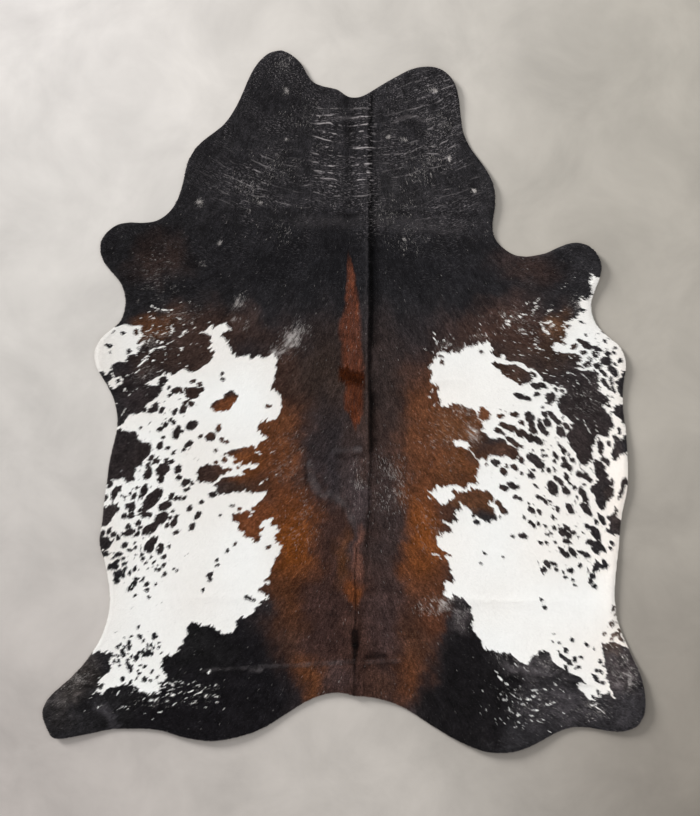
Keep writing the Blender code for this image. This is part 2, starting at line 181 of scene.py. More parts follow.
# Dark shapes that lie inside the white patches.
DARK_PATCHES = {
    "left flank": [
        (-80, -8.6), (-72.3, -8.9), (-71, -9.4), (-69.8, -9.9), (-68.4, -9.7), (-66.6, -10.4), (-66.2, -12),
        (-64.6, -13), (-62.6, -13.4), (-62.4, -15), (-63, -17.5), (-64.6, -19), (-65, -21), (-67, -21.2),
        (-67.3, -23), (-68, -24.6), (-66.9, -25.6), (-69, -26.2), (-72, -25.2), (-80, -25.4),
    ],
    "left flank, lower": [
        (-80, -33.4), (-76.6, -33.6), (-74.6, -33), (-72.6, -33.6), (-72.2, -34.8), (-74, -36.4),
        (-74.6, -38), (-76.6, -40.2), (-80, -40.4),
    ],
    "left border": [
        (-80, -43), (-76.4, -43.2), (-74.4, -44.6), (-75.2, -46.6), (-76.2, -47.6), (-80, -47.6),
    ],
    "left border, lowest": [(-80, -48.2), (-76, -47.8), (-74.8, -48.6), (-76.2, -49.8), (-80, -49.8)],
    "left brown lobe": [
        (-43.2, -2.2), (-42.6, -0.4), (-40.6, 0.4), (-39.4, 0.4), (-39.2, 2), (-38, 3), (-36, 3.4),
        (-34.4, 2), (-34.5, 0), (-36.2, -1.2), (-37, -2.8), (-39.5, -3.5), (-42.4, -3.4),
    ],
    "left round mark": [
        (-47.6, -22.8), (-46.6, -21), (-44.4, -20.2), (-42.8, -20.6), (-41, -20.3), (-39.4, -21.2),
        (-38, -22), (-38.2, -23.4), (-40.4, -23.8), (-41.2, -25.2), (-42.4, -26.4), (-44.8, -26.2),
        (-46.4, -26.4), (-47.6, -25.2), (-46.9, -24.2),
    ],
    "left arm's end": [
        (-41.4, -26.2), (-38.6, -24.9), (-36, -24.4), (-36, -29.4), (-38.2, -29.8), (-42.6, -27.3),
    ],
    "second right lobe": [
        (47.2, 12.4), (48, 12.9), (49.5, 12.3), (51.8, 11.7), (53.5, 11.9), (55, 11.6), (57, 10.5),
        (58.4, 9.7), (59.2, 8.6), (60.6, 7.2), (60, 6.3), (58.3, 5.7), (56.6, 5.1), (55.2, 5.6),
        (53.8, 6.9), (51.5, 7.6), (50, 8.9), (49.5, 10.3), (48.2, 10.9), (47.2, 11.8),
    ],
    "right brown round mark": [
        (42.6, -3.6), (43.4, -2), (45, -2.1), (46, -3.4), (47.3, -4.2), (46.4, -6.2), (44.2, -6.5),
        (42.9, -5.4),
    ],
    "right flank, by the mass": [
        (64.2, 2.4), (65, 2.8), (66.5, 3), (68.2, 1.6), (67.6, 0.4), (66.8, -0.2), (66.2, -1.5),
        (65.2, -1.3), (64.6, 0.4),
    ],
    "right flank, down the side": [
        (80, -18.2), (79.3, -20.5), (80.5, -24.5), (80.6, -26.5), (79.3, -27.3), (78.7, -28.8), (80, -30.2),
        (80.6, -32.6), (82, -34.9), (83.4, -34.7), (84, -32.4), (85.6, -31.8), (85.8, -30), (85.1, -26.6),
        (84.2, -22.6), (83.6, -21), (81.8, -19.2),
    ],
    "right border": [
        (85.6, -11), (87.5, -10.8), (88.2, -12.4), (89.3, -11), (92, -11), (92, -16.6), (88.4, -17.2),
        (87.2, -18.4), (85.6, -18.9), (85.4, -16.8), (86.4, -15.4), (86.2, -13),
    ],
    "right border, upper": [
        (86.8, 6.6), (88, 6.8), (89, 9.8), (94, 9.8), (94, 1.2), (88.2, 1.4), (87.2, 3.8),
    ],
    "right border, second": [
        (87, -1.2), (92, -0.2), (92, -7.2), (89, -7.4), (88, -5.6), (86.8, -4.6), (85.2, -3.4),
        (86.2, -2.4),
    ],
    "right border, third": [
        (86.8, -33.4), (87.7, -35), (87.2, -37), (90, -40.4), (89, -42.4), (86.4, -43), (84, -42),
        (83.4, -41.2), (85, -40.6), (85.2, -39.2), (83.9, -37.6), (84.2, -36.8), (85.6, -36.6),
        (86.2, -35.2),
    ],
    "right flank, star": [
        (77, -44.4), (78.6, -44.6), (80, -44.9), (81, -44.4), (82.2, -45.4), (83.9, -47.7), (82.4, -48.1),
        (81.2, -49.5), (80.2, -48.8), (78.7, -47.4), (79, -46.3), (77, -45.7),
    ],
    "right flank, fork": [
        (78.6, -51.6), (80.2, -51.9), (80.6, -50.8), (82, -51.8), (82.9, -50.2), (84.6, -52.8), (84, -54),
        (82, -53.9), (81.2, -55), (80, -55.3), (79.2, -54.4), (79.3, -52.8),
    ],
}

# Dark spots: x, y, half length, half width and, where it isn't its side's usual one, tilt in degrees.
SPOT_TILTS = {"left": 55.0, "right": -52.0}
LEG_SPOT_TILT = 80.0
SPOT_GROWTH = 0.14  # a spot is drawn larger all round, for what its ragged edge loses
SPOTS = {
    "left": [
        (-75.8, 17.8, 1, 0.6, 0), (-75.4, 15.7, 0.35, 0.3), (-69.4, 15.9, 0.7, 0.5, 0), (-67, 22.2, 1, 0.6),
        (-71.2, 21.9, 0.8, 0.4, 0), (-74.5, 22.2, 0.4, 0.2), (-68.4, 13.8, 1.3, 0.8, 30),
        (-77.8, 8.8, 0.6, 0.5), (-76, 7.2, 1.3, 0.9, 30), (-72.9, 6.4, 0.7, 0.4), (-58.6, 6.3, 1.8, 1.2),
        (-56.5, 4.3, 0.5, 0.3), (-54.2, 3.4, 2, 0.8, 22), (-56.5, 1.8, 0.6, 0.4, 20), (-51, 4, 0.5, 0.4),
        (-49.1, 2.6, 2.3, 1.9, 0), (-46.6, 3.5, 1.4, 0.7, 22), (-52.3, 3, 0.5, 0.4),
        (-48.9, 6.3, 1, 0.5, 25), (-46.8, 5.3, 0.8, 0.5, 0), (-39.4, 8.8, 0.5, 0.4),
        (-39.2, 7.1, 0.8, 0.5, 0), (-49.5, -0.9, 1.1, 0.7, 25), (-51.5, -0.7, 0.9, 0.4, 42),
        (-50.3, 0.2, 0.5, 0.3), (-52, -2.7, 1.4, 0.9, 45), (-54.8, -3.5, 1, 0.6, 42),
        (-58.9, -2.9, 1.2, 0.6, 45), (-61, -1.9, 1.7, 1.1, 65), (-62.8, -3.2, 0.8, 0.6),
        (-64.3, -2.8, 0.7, 0.35, 70), (-49.3, -7.8, 2.1, 1.3, 35), (-55.9, -6, 0.6, 0.4),
        (-55, -6.8, 0.7, 0.5), (-57.6, -7.5, 1, 0.5), (-59.3, -8.9, 1, 0.7), (-53.9, -9.5, 1.8, 1, 65),
        (-54.6, -11.3, 1, 0.8, 65), (-52.4, -9.7, 0.5, 0.4), (-65.8, -8.8, 0.5, 0.25),
        (-43.2, -11.5, 1.7, 1.3, 20), (-40.7, -9, 1, 0.8), (-40.4, -7.8, 0.45, 0.35),
        (-39.7, -12.4, 0.6, 0.4, 0), (-38.1, -13, 0.8, 0.5, -15), (-46.4, -11.3, 0.8, 0.35, 45),
        (-50.2, -13.8, 1.4, 0.75, 42), (-51.7, -15.6, 0.6, 0.45), (-58.3, -11.7, 0.6, 0.35),
        (-59.5, -14.4, 1.4, 0.8, 60), (-56.9, -15.1, 0.7, 0.4, 20), (-55, -16.5, 0.9, 0.3, 60),
        (-41.6, -15.9, 0.6, 0.35, 0), (-24.6, -1.6, 0.9, 0.5, 0), (-62.1, -18.2, 0.9, 0.6),
        (-60.7, -19.3, 1.3, 0.8, 30), (-57.3, -19, 0.7, 0.5), (-55.8, -19.4, 1, 0.5, 30),
        (-58.6, -21.9, 2.4, 1.8, 45), (-59.1, -25, 1.4, 1, 60), (-53.7, -21.8, 1.5, 1, 60),
        (-53.3, -24.4, 0.9, 0.8), (-63.2, -23.3, 2, 1.1, 60), (-63.2, -20.6, 1, 0.6),
        (-51.1, -26, 1.6, 0.9, 40), (-49.2, -26.3, 0.6, 0.5), (-51.4, -28.6, 0.7, 0.4, 30),
        (-50.2, -28, 0.5, 0.3), (-41.6, -19.7, 0.7, 0.4, 0), (-38.7, -18.9, 1, 0.8, 20),
        (-35.2, -19.5, 0.6, 0.3, 20), (-34.2, -21.2, 0.5, 0.3, 0), (-37.3, -22, 0.8, 0.5, 0),
        (-31.5, -22.2, 1.4, 0.6, 15), (-42.5, -29.9, 1.3, 0.8, 15), (-39.4, -25, 0.7, 0.3, 30),
        (-75.4, -26.6, 1.3, 0.8, 60), (-73.9, -29.6, 2.6, 0.9, 70), (-72.2, -28, 0.8, 0.5),
        (-76.8, -31, 1.1, 0.4, 70), (-69.8, -33.6, 1.1, 0.7), (-68.3, -34.1, 1.9, 0.9, 70),
        (-68.6, -36.8, 1.3, 0.8, 30), (-70.8, -36.8, 0.9, 0.6), (-67.8, -30.6, 1.1, 0.6, 60),
        (-69.1, -29.8, 0.5, 0.3), (-66.8, -27.8, 0.6, 0.3, 60), (-64.5, -28.7, 2, 1, 65),
        (-65.6, -30.7, 0.8, 0.6), (-62, -31.6, 3.8, 1.8, 50), (-60, -29.6, 1.6, 1.5, 50),
        (-64.7, -35, 1.9, 1, 32), (-64, -36.6, 1.3, 0.7, 32), (-62.3, -36.6, 0.7, 0.35, 35),
        (-57.9, -33.6, 2.4, 1.3, 25), (-55.8, -30.7, 1.2, 0.7, 65), (-54.2, -31, 0.9, 0.45),
        (-53.1, -31.2, 0.5, 0.3), (-51.7, -31.1, 0.8, 0.35, 48), (-46.2, -32.5, 0.8, 0.5, 25),
        (-50, -34.5, 1.1, 0.7, 45), (-47.3, -36.6, 1.5, 0.7, 50), (-49.1, -40.3, 1.3, 0.75, 52),
        (-55.4, -35.5, 0.5, 0.35), (-54.3, -37, 0.8, 0.45, 35), (-55, -39.1, 1.6, 0.85, 50),
        (-56.2, -37.6, 0.7, 0.3), (-57.2, -39.8, 0.7, 0.45), (-54.3, -42.1, 0.9, 0.55, 42),
        (-59, -37.6, 2.8, 1.5, 42), (-62.7, -41.1, 2.9, 1.4, 32), (-66.2, -39, 1, 0.65),
        (-69.4, -40.4, 1.2, 0.8, 80), (-69.1, -42.1, 1.9, 1, 25), (-66.7, -42.6, 1, 0.5, 40),
        (-65.7, -40.6, 0.9, 0.45, 35), (-72.8, -43.8, 0.8, 0.7), (-74.2, -42.7, 1, 0.5, 35),
        (-77.6, -42.3, 1, 0.7), (-75.7, -41.7, 1.1, 0.4, 65), (-71.4, -42.4, 0.6, 0.3),
        (-62.7, -46.6, 2.2, 1.5, 60), (-61.4, -44.5, 1.4, 1.1, 30), (-59.4, -47.3, 1.8, 1.15, 65),
        (-56.6, -46.7, 0.5, 0.35), (-70.6, -46, 1.3, 0.75, 42), (-69, -47.6, 0.8, 0.7, 0),
        (-67.2, -46.9, 0.7, 0.3, 25), (-67.5, -45.5, 0.5, 0.25), (-65.2, -49.2, 0.5, 0.3),
        (-72.6, -49.2, 1.2, 0.6, 15), (-65, -50.7, 0.6, 0.5), (-58.2, -49.9, 0.8, 0.5, 40),
        (-62.4, -50, 0.4, 0.25), (-74.4, -50.3, 0.4, 0.3), (-71.2, -50.5, 0.5, 0.35),
        (-73.1, -51.4, 1, 0.45, 35), (-74.4, -53.1, 1.7, 1.2, 0), (-70.8, -52.2, 0.9, 0.5, 40),
        (-70.5, -53.8, 0.6, 0.3), (-72.4, -55.2, 1.9, 1, 10), (-73.2, -57, 1.6, 0.8, 85),
        (-71.1, -56.2, 0.7, 0.4), (-69, -55, 0.8, 0.3, 70), (-67.4, -53.7, 0.9, 0.4, 60),
        (-64, -51.9, 0.5, 0.25), (-61.4, -51.8, 0.5, 0.25, 45), (-58.2, -52.6, 0.8, 0.5, 42),
        (-60.8, -53.8, 0.35, 0.25), (-59.7, -54, 0.7, 0.4, 42), (-58.1, -55.6, 0.8, 0.4, 45),
        (-55.2, -53.8, 0.35, 0.2), (-54.2, -54.4, 0.45, 0.25), (-67, -56.9, 0.65, 0.5, 0),
        (-64.9, -56.9, 0.7, 0.25), (-65.6, -57.7, 0.4, 0.2), (-67.9, -58.8, 1.2, 0.75, 55),
        (-68.9, -60, 0.9, 0.6, 20), (-63.6, -58.7, 0.7, 0.45, 60), (-63.7, -60.6, 0.75, 0.5, 0),
        (-60.6, -58.7, 0.45, 0.2, 80), (-67.2, -62.2, 0.5, 0.25, 30), (-62.9, -62.8, 0.5, 0.4, -50),
        (-36.3, -33.5, 0.65, 0.25, 0), (-34, -34.6, 0.5, 0.35, 20), (-40.2, -36.7, 0.3, 0.2),
        (-35.4, -45.8, 0.55, 0.35, 45), (-37.7, -47.9, 0.6, 0.45, 25), (-41.1, -51, 0.5, 0.3, 45),
        (-41, -52.7, 0.65, 0.4, 30), (-43.5, -55.7, 1.2, 0.75, 30), (-43.5, -57.3, 0.55, 0.45),
        (-45.7, -60.6, 0.6, 0.4), (-24.7, -46.8, 1, 0.4, 15), (-31.8, -62.8, 0.7, 0.55, 30),
        (-30.6, -63.2, 0.65, 0.45, 30), (-29.1, -63.5, 0.55, 0.4, 15), (-25.4, -57.4, 0.7, 0.4, 30),
    ],
    "left hind leg": [
        (-61.2, -75.3, 1, 0.65, 75), (-65.8, -75.3, 0.75, 0.4, -70), (-64.8, -76.7, 0.4, 0.3, 0),
        (-66.3, -72.4, 0.45, 0.3, 60), (-68.4, -75.3, 0.4, 0.3, 0), (-70.8, -75.6, 0.3, 0.22, 0),
        (-69.3, -78.2, 1.7, 0.5, 88), (-70.9, -78.8, 0.6, 0.35, 60), (-73, -78.8, 0.5, 0.35, 70),
        (-72.1, -78, 0.35, 0.22, 0), (-71.4, -80.4, 1, 0.45, 75), (-72.1, -80.1, 0.4, 0.25, 90),
        (-63.5, -80.8, 1.5, 0.85, 25), (-65, -80.2, 0.8, 0.35, 70), (-67, -82.2, 1.1, 0.8, 60),
        (-61.8, -81, 0.5, 0.35, 60), (-61.6, -79.1, 0.4, 0.3, 0), (-62.2, -78, 0.5, 0.3, 60),
        (-59.8, -78.8, 0.5, 0.3, 80), (-59.5, -77.2, 0.35, 0.2, 50), (-63.4, -78.2, 0.6, 0.2, 88),
        (-69.9, -83.5, 0.9, 0.4, 85), (-68.9, -85, 1.1, 0.65, 80), (-68.7, -86.3, 0.6, 0.45, 40),
        (-72.6, -83.2, 0.55, 0.3, -75), (-74, -83.3, 0.6, 0.35, 80), (-72.3, -84.6, 0.35, 0.3, 0),
        (-74.6, -81.6, 0.3, 0.2, 80), (-73.7, -81.6, 0.3, 0.2, 60), (-72.7, -81.5, 0.3, 0.22, 0),
        (-64.3, -84.8, 0.45, 0.3, 0), (-65.8, -84.6, 0.25, 0.2, 0), (-66.4, -86.3, 0.35, 0.2, 50),
        (-66, -87.2, 0.6, 0.25, 45), (-62, -86.6, 0.7, 0.25, 65), (-71.2, -88.8, 0.8, 0.5, 60),
        (-67, -88.8, 0.3, 0.2, 70), (-64.3, -89.1, 0.75, 0.6, 45), (-62.6, -89.6, 0.45, 0.35, 40),
        (-60.6, -88.5, 0.6, 0.25, 40), (-69, -90.2, 0.6, 0.25, 65), (-78.2, -91.2, 1, 0.4, 62),
        (-66.2, -80.7, 0.9, 0.35, 62), (-68.5, -81.8, 0.5, 0.22, 75), (-59.3, -80.9, 0.25, 0.2, 0),
        (-71, -81.4, 0.5, 0.3, 60),
    ],
    "right": [
        (43.7, 15.9, 0.6, 0.4, -20), (31.2, 12.3, 0.65, 0.45, 15), (30.8, 14.3, 0.7, 0.4, -10),
        (33.2, 16, 0.7, 0.4, -10), (56.2, 1.6, 2, 0.75, -22), (58.6, 0.9, 1.3, 0.6, -10),
        (61.2, 4.8, 1.6, 0.9, -25), (63.3, 5.1, 1.5, 0.8, -30), (61.7, 2.2, 0.95, 0.75, -10),
        (60.2, 8.7, 1, 0.6, -35), (54.3, -4.2, 1.35, 0.9, -10), (50.1, -4.8, 1.05, 0.6, -10),
        (56.7, -6.9, 0.9, 0.6, -15), (59.3, -5.2, 2, 1.3, -70), (60, -7.6, 1.2, 1, -60),
        (63.5, -2.1, 0.45, 0.3, 0), (64.1, -4.2, 0.9, 0.65, -30), (66.5, -4.8, 2, 0.8, -50),
        (65, -6.9, 1.7, 1, -52), (68.4, -6.6, 1.3, 0.8, -42), (62.4, -6.3, 0.7, 0.5, -40),
        (63.1, -8.6, 1.9, 0.9, -65), (64.7, -10.3, 1, 0.5, -65), (60.4, -9.4, 1.6, 0.9, -32),
        (51.2, -7.9, 1.8, 0.8, -30), (53.4, -8.6, 1.9, 1, -22), (56.5, -10.4, 1.7, 1.2, -10),
        (59.5, -11.8, 1.7, 1.1, -45), (62.1, -12.8, 1.9, 0.85, -42), (49.3, -9.5, 1.6, 0.75, -20),
        (51.1, -10.6, 0.5, 0.4), (69.3, -9.9, 1.8, 1.3, -60), (71, -8, 1.4, 0.7, -48),
        (53, -12.4, 1.6, 0.7, -30), (55, -13.9, 1.4, 0.6, -35), (56.8, -14.6, 0.55, 0.35),
        (60.5, -18.4, 2.5, 1.3, -25), (62.4, -20.4, 2, 1.1, -25), (56.6, -18.9, 1.2, 0.75, -70),
        (48.4, -19.7, 1.5, 0.95, -15), (45.4, -20.4, 0.45, 0.3, 0), (51.9, -20.8, 0.5, 0.4, 0),
        (54.3, -21.2, 1.3, 0.85, -30), (51, -22.7, 1.4, 0.9, -42), (56.7, -23.2, 0.5, 0.35),
        (59.7, -23.7, 1.3, 0.85, -35), (60.5, -22, 0.6, 0.3, -20), (65.4, -22.2, 0.9, 0.45, -60),
        (63.5, -22.4, 0.35, 0.25), (63.4, -15.8, 0.5, 0.3, -30), (63.6, -17.5, 0.6, 0.45, 0),
        (64.8, -17.6, 0.35, 0.25), (67.5, -17.4, 1.5, 0.5, -57), (67.2, -19.3, 0.6, 0.4),
        (70.2, -16, 1.1, 0.6, -60), (70.4, -18.8, 1.2, 0.7, -60), (69.9, -20.7, 0.7, 0.4),
        (71.9, -21.2, 1.6, 0.8, -50), (73.1, -18.8, 0.7, 0.4), (68.9, -14.4, 0.6, 0.2),
        (71, -24.2, 1.4, 0.6, -70), (69, -25.8, 1.4, 0.6, -60), (67.6, -24.7, 0.8, 0.5),
        (66.6, -27.8, 2.5, 1.5, -65), (70.9, -28.8, 1.5, 0.95, -52), (73.8, -27.9, 0.85, 0.45),
        (71.9, -26.3, 0.6, 0.25), (75, -23.5, 1, 0.6), (77, -24, 1.4, 1, -10), (78.4, -25.2, 1, 0.7, -40),
        (76.4, -29.6, 2.2, 0.85, -62), (77.2, -31.6, 1.2, 0.8, -50), (74.6, -30.8, 0.7, 0.2),
        (51.1, -27.7, 1.5, 0.9, -20), (53.7, -27.1, 1.8, 0.85, -32), (55.7, -27.3, 0.4, 0.25),
        (61.5, -27.4, 1, 0.25, -45), (54.7, -30.8, 0.8, 0.65, -60), (56.3, -31.4, 0.75, 0.45),
        (62, -30.8, 0.8, 0.45, -42), (63.5, -31.4, 0.9, 0.4, -40), (64.7, -32.5, 0.9, 0.4, -50),
        (59.8, -34.9, 1.4, 0.8, -28), (59.1, -33, 0.45, 0.2, -40), (62.4, -35.5, 1.1, 0.5, -55),
        (68.2, -34.6, 0.95, 0.45, -60), (72, -34.3, 2.1, 0.85, -57), (77.3, -34.6, 2.5, 1, -50),
        (65.8, -32, 0.4, 0.25), (66.9, -37.3, 0.7, 0.3, -30), (57.5, -37.3, 0.35, 0.25),
        (59.4, -38.6, 0.75, 0.45, -42), (60.4, -39.7, 0.8, 0.4, -42), (62.1, -39.4, 0.75, 0.4, -42),
        (67, -40.6, 0.7, 0.4), (64.2, -40, 0.6, 0.2, -40), (42.3, -38.7, 0.95, 0.6, -20),
        (41.2, -37, 0.5, 0.3, -20), (49.2, -32.8, 1.3, 0.6, -50), (50.8, -35, 1.8, 0.8, -42),
        (49.6, -37, 0.35, 0.25), (78, -33, 0.4, 0.25), (80.5, -38.8, 0.85, 0.5, -70),
        (82.4, -38, 2.2, 0.8, -55), (78.6, -36.2, 0.9, 0.4), (77.8, -40.1, 1.1, 0.55, -30),
        (80.4, -42.2, 2.5, 1.2, -60), (70, -42, 1.8, 1.2, -35), (71.7, -43.2, 1.1, 0.75, -40),
        (73.3, -42.3, 0.85, 0.5, -10), (71.3, -40.7, 1.4, 0.45, -45), (71.2, -45, 1.5, 0.65, -25),
        (57.1, -43.2, 1.7, 0.85, -22), (53.8, -43.4, 0.6, 0.4, -20), (65, -42.8, 0.5, 0.35, 0),
        (66, -42.3, 0.45, 0.3, 0), (62.8, -45.3, 0.7, 0.35, -22), (64.6, -45.4, 0.75, 0.35, -30),
        (67.5, -45.2, 0.35, 0.2), (69.2, -47.4, 0.9, 0.3, -35), (70.6, -49, 1.6, 0.8, -28),
        (73, -48.4, 1.8, 0.85, -50), (76, -48.6, 1.2, 0.6, -20), (77.5, -49.4, 1.2, 0.9, -30),
        (79.4, -56, 0.9, 0.55, 0), (78.6, -57.6, 0.9, 0.65, -70), (79.9, -59.2, 0.75, 0.65, 0),
        (85.7, -45.5, 0.9, 0.5), (85.3, -47.4, 0.5, 0.3), (65, -52.3, 1.5, 0.75, -55),
        (63.8, -54.1, 1.25, 0.85, -75), (66.9, -52.1, 1.1, 0.5, -22), (67.9, -54.2, 0.75, 0.4),
        (72.4, -54.3, 1, 0.85, 0), (75.3, -52.6, 0.7, 0.55, -60), (70.6, -56.3, 0.55, 0.35, 0),
        (73.2, -57.3, 0.4, 0.3, 0), (73.7, -59, 0.5, 0.35, -20), (44.7, -48.7, 0.6, 0.25, -42),
        (50.8, -50, 0.35, 0.2, -30), (43.7, -52.1, 0.4, 0.2, -40), (63.1, -63.7, 0.45, 0.4, 0),
        (64.2, -66.1, 0.75, 0.45, -60), (69.9, -54.8, 0.35, 0.25), (67.7, 3.8, 0.6, 0.45, -30),
        (69.6, 3.3, 0.6, 0.4, -20), (81.9, -14.2, 1.6, 1, -75), (82.1, -16.2, 0.9, 0.5, -70),
        (84.7, -13.7, 1, 0.5, -75), (82.8, -18.6, 1.1, 0.5, -60), (84.2, -19.6, 1.2, 0.7, -75),
        (89.3, -26.5, 1.9, 0.9, 70), (88.3, -29.6, 2, 0.45, 65), (85.6, -26, 1.2, 0.35, -85),
        (85.7, -28.6, 0.8, 0.3, -75), (87.9, -9.4, 1.1, 0.4, -80), (83.3, -0.9, 0.5, 0.3),
        (84.6, -1.4, 0.5, 0.4), (84, -0.2, 0.3, 0.2), (86.4, 9.3, 1.6, 0.9, -70),
        (85.3, 10.4, 1.5, 0.8, -60), (83.8, 12.8, 1.8, 1.3, -20), (84.3, 15.3, 0.9, 0.65, 0),
        (80.4, 15.1, 1.2, 0.8, -15), (77.9, 11.8, 1.1, 1, 0), (80.9, 11.3, 1.2, 0.8, -20),
        (77.3, 18, 1.9, 1, -30), (75.4, 19.3, 1, 0.7, -20), (80.8, 16.9, 1.7, 0.7, -22),
        (73.6, 17.5, 1.1, 0.8, 40), (76.8, 15.6, 1, 0.6, -20), (88.1, 13, 0.8, 0.6, 50),
        (86.6, 17.1, 0.4, 0.35), (86.2, 15.6, 0.35, 0.25), (86.4, 11.9, 0.4, 0.3),
        (83.4, 19.2, 0.6, 0.35, -30), (77.3, 21.2, 0.25, 0.2), (71.6, 24, 0.9, 0.5, -20),
        (68.6, 22.2, 2, 1.4, -50), (69.2, 19.3, 1, 0.6, -30), (79, 8.4, 1.2, 0.6, -40),
        (83.2, 8.8, 1.2, 0.5, -60), (83, 6.2, 1.4, 0.7, -60), (85.4, 6.6, 1.5, 0.5, -75),
        (84.4, 4.6, 1.1, 0.5, -60), (86.2, 3.6, 1, 0.4, -70), (82, 9.8, 0.7, 0.4), (78.8, 13.4, 0.6, 0.4),
        (75.9, 11, 0.5, 0.3), (77.2, 37, 1.4, 0.9, -10), (77, 34.2, 1.9, 0.7, -5),
        (75.8, 25.4, 0.6, 0.3, -30),
    ],
    "right hind leg": [
        (72.9, -76.5, 0.65, 0.45, -60), (77.6, -77.9, 0.7, 0.35, -55), (68.7, -77.4, 0.3, 0.22, 0),
        (66.5, -76.8, 0.22, 0.18, 0), (67.2, -74.7, 0.25, 0.15, 40), (79.7, -79.4, 0.25, 0.18, 0),
        (70.8, -79.8, 0.95, 0.5, -70), (68.6, -80.2, 0.4, 0.25, -60), (69.6, -81.7, 1.3, 0.5, -45),
        (70.8, -82.7, 0.8, 0.5, -30), (72, -83.6, 0.9, 0.6, -65), (73.6, -82.6, 0.9, 0.6, -80),
        (75.6, -81.9, 0.6, 0.3, -65), (71, -85.4, 1, 0.5, -70), (73.8, -85.5, 0.35, 0.22, 0),
        (74.9, -85, 0.5, 0.35, 0), (82, -83.4, 0.75, 0.4, -75), (80.8, -86.3, 0.5, 0.3, -70),
        (82.2, -86.8, 0.75, 0.35, -60), (80.4, -88.6, 1.3, 0.55, -65), (81.4, -89.8, 0.5, 0.3, -50),
        (82.8, -90.2, 0.6, 0.4, -40), (85.9, -66.3, 0.75, 0.45, 60), (86.6, -68.3, 0.5, 0.25, 60),
        (85.6, -71.4, 1.1, 0.75, -80), (86.7, -74.6, 1.3, 0.75, 20), (85.6, -76.2, 0.6, 0.35, 40),
        (88.6, -76.2, 1.1, 0.4, -40), (88.2, -73.5, 0.7, 0.3, -40), (83.2, -74.6, 0.5, 0.3, 30),
        (81.4, -93.4, 0.9, 0.3, -60), (79.8, -94.8, 0.8, 0.3, -50),
    ],
}

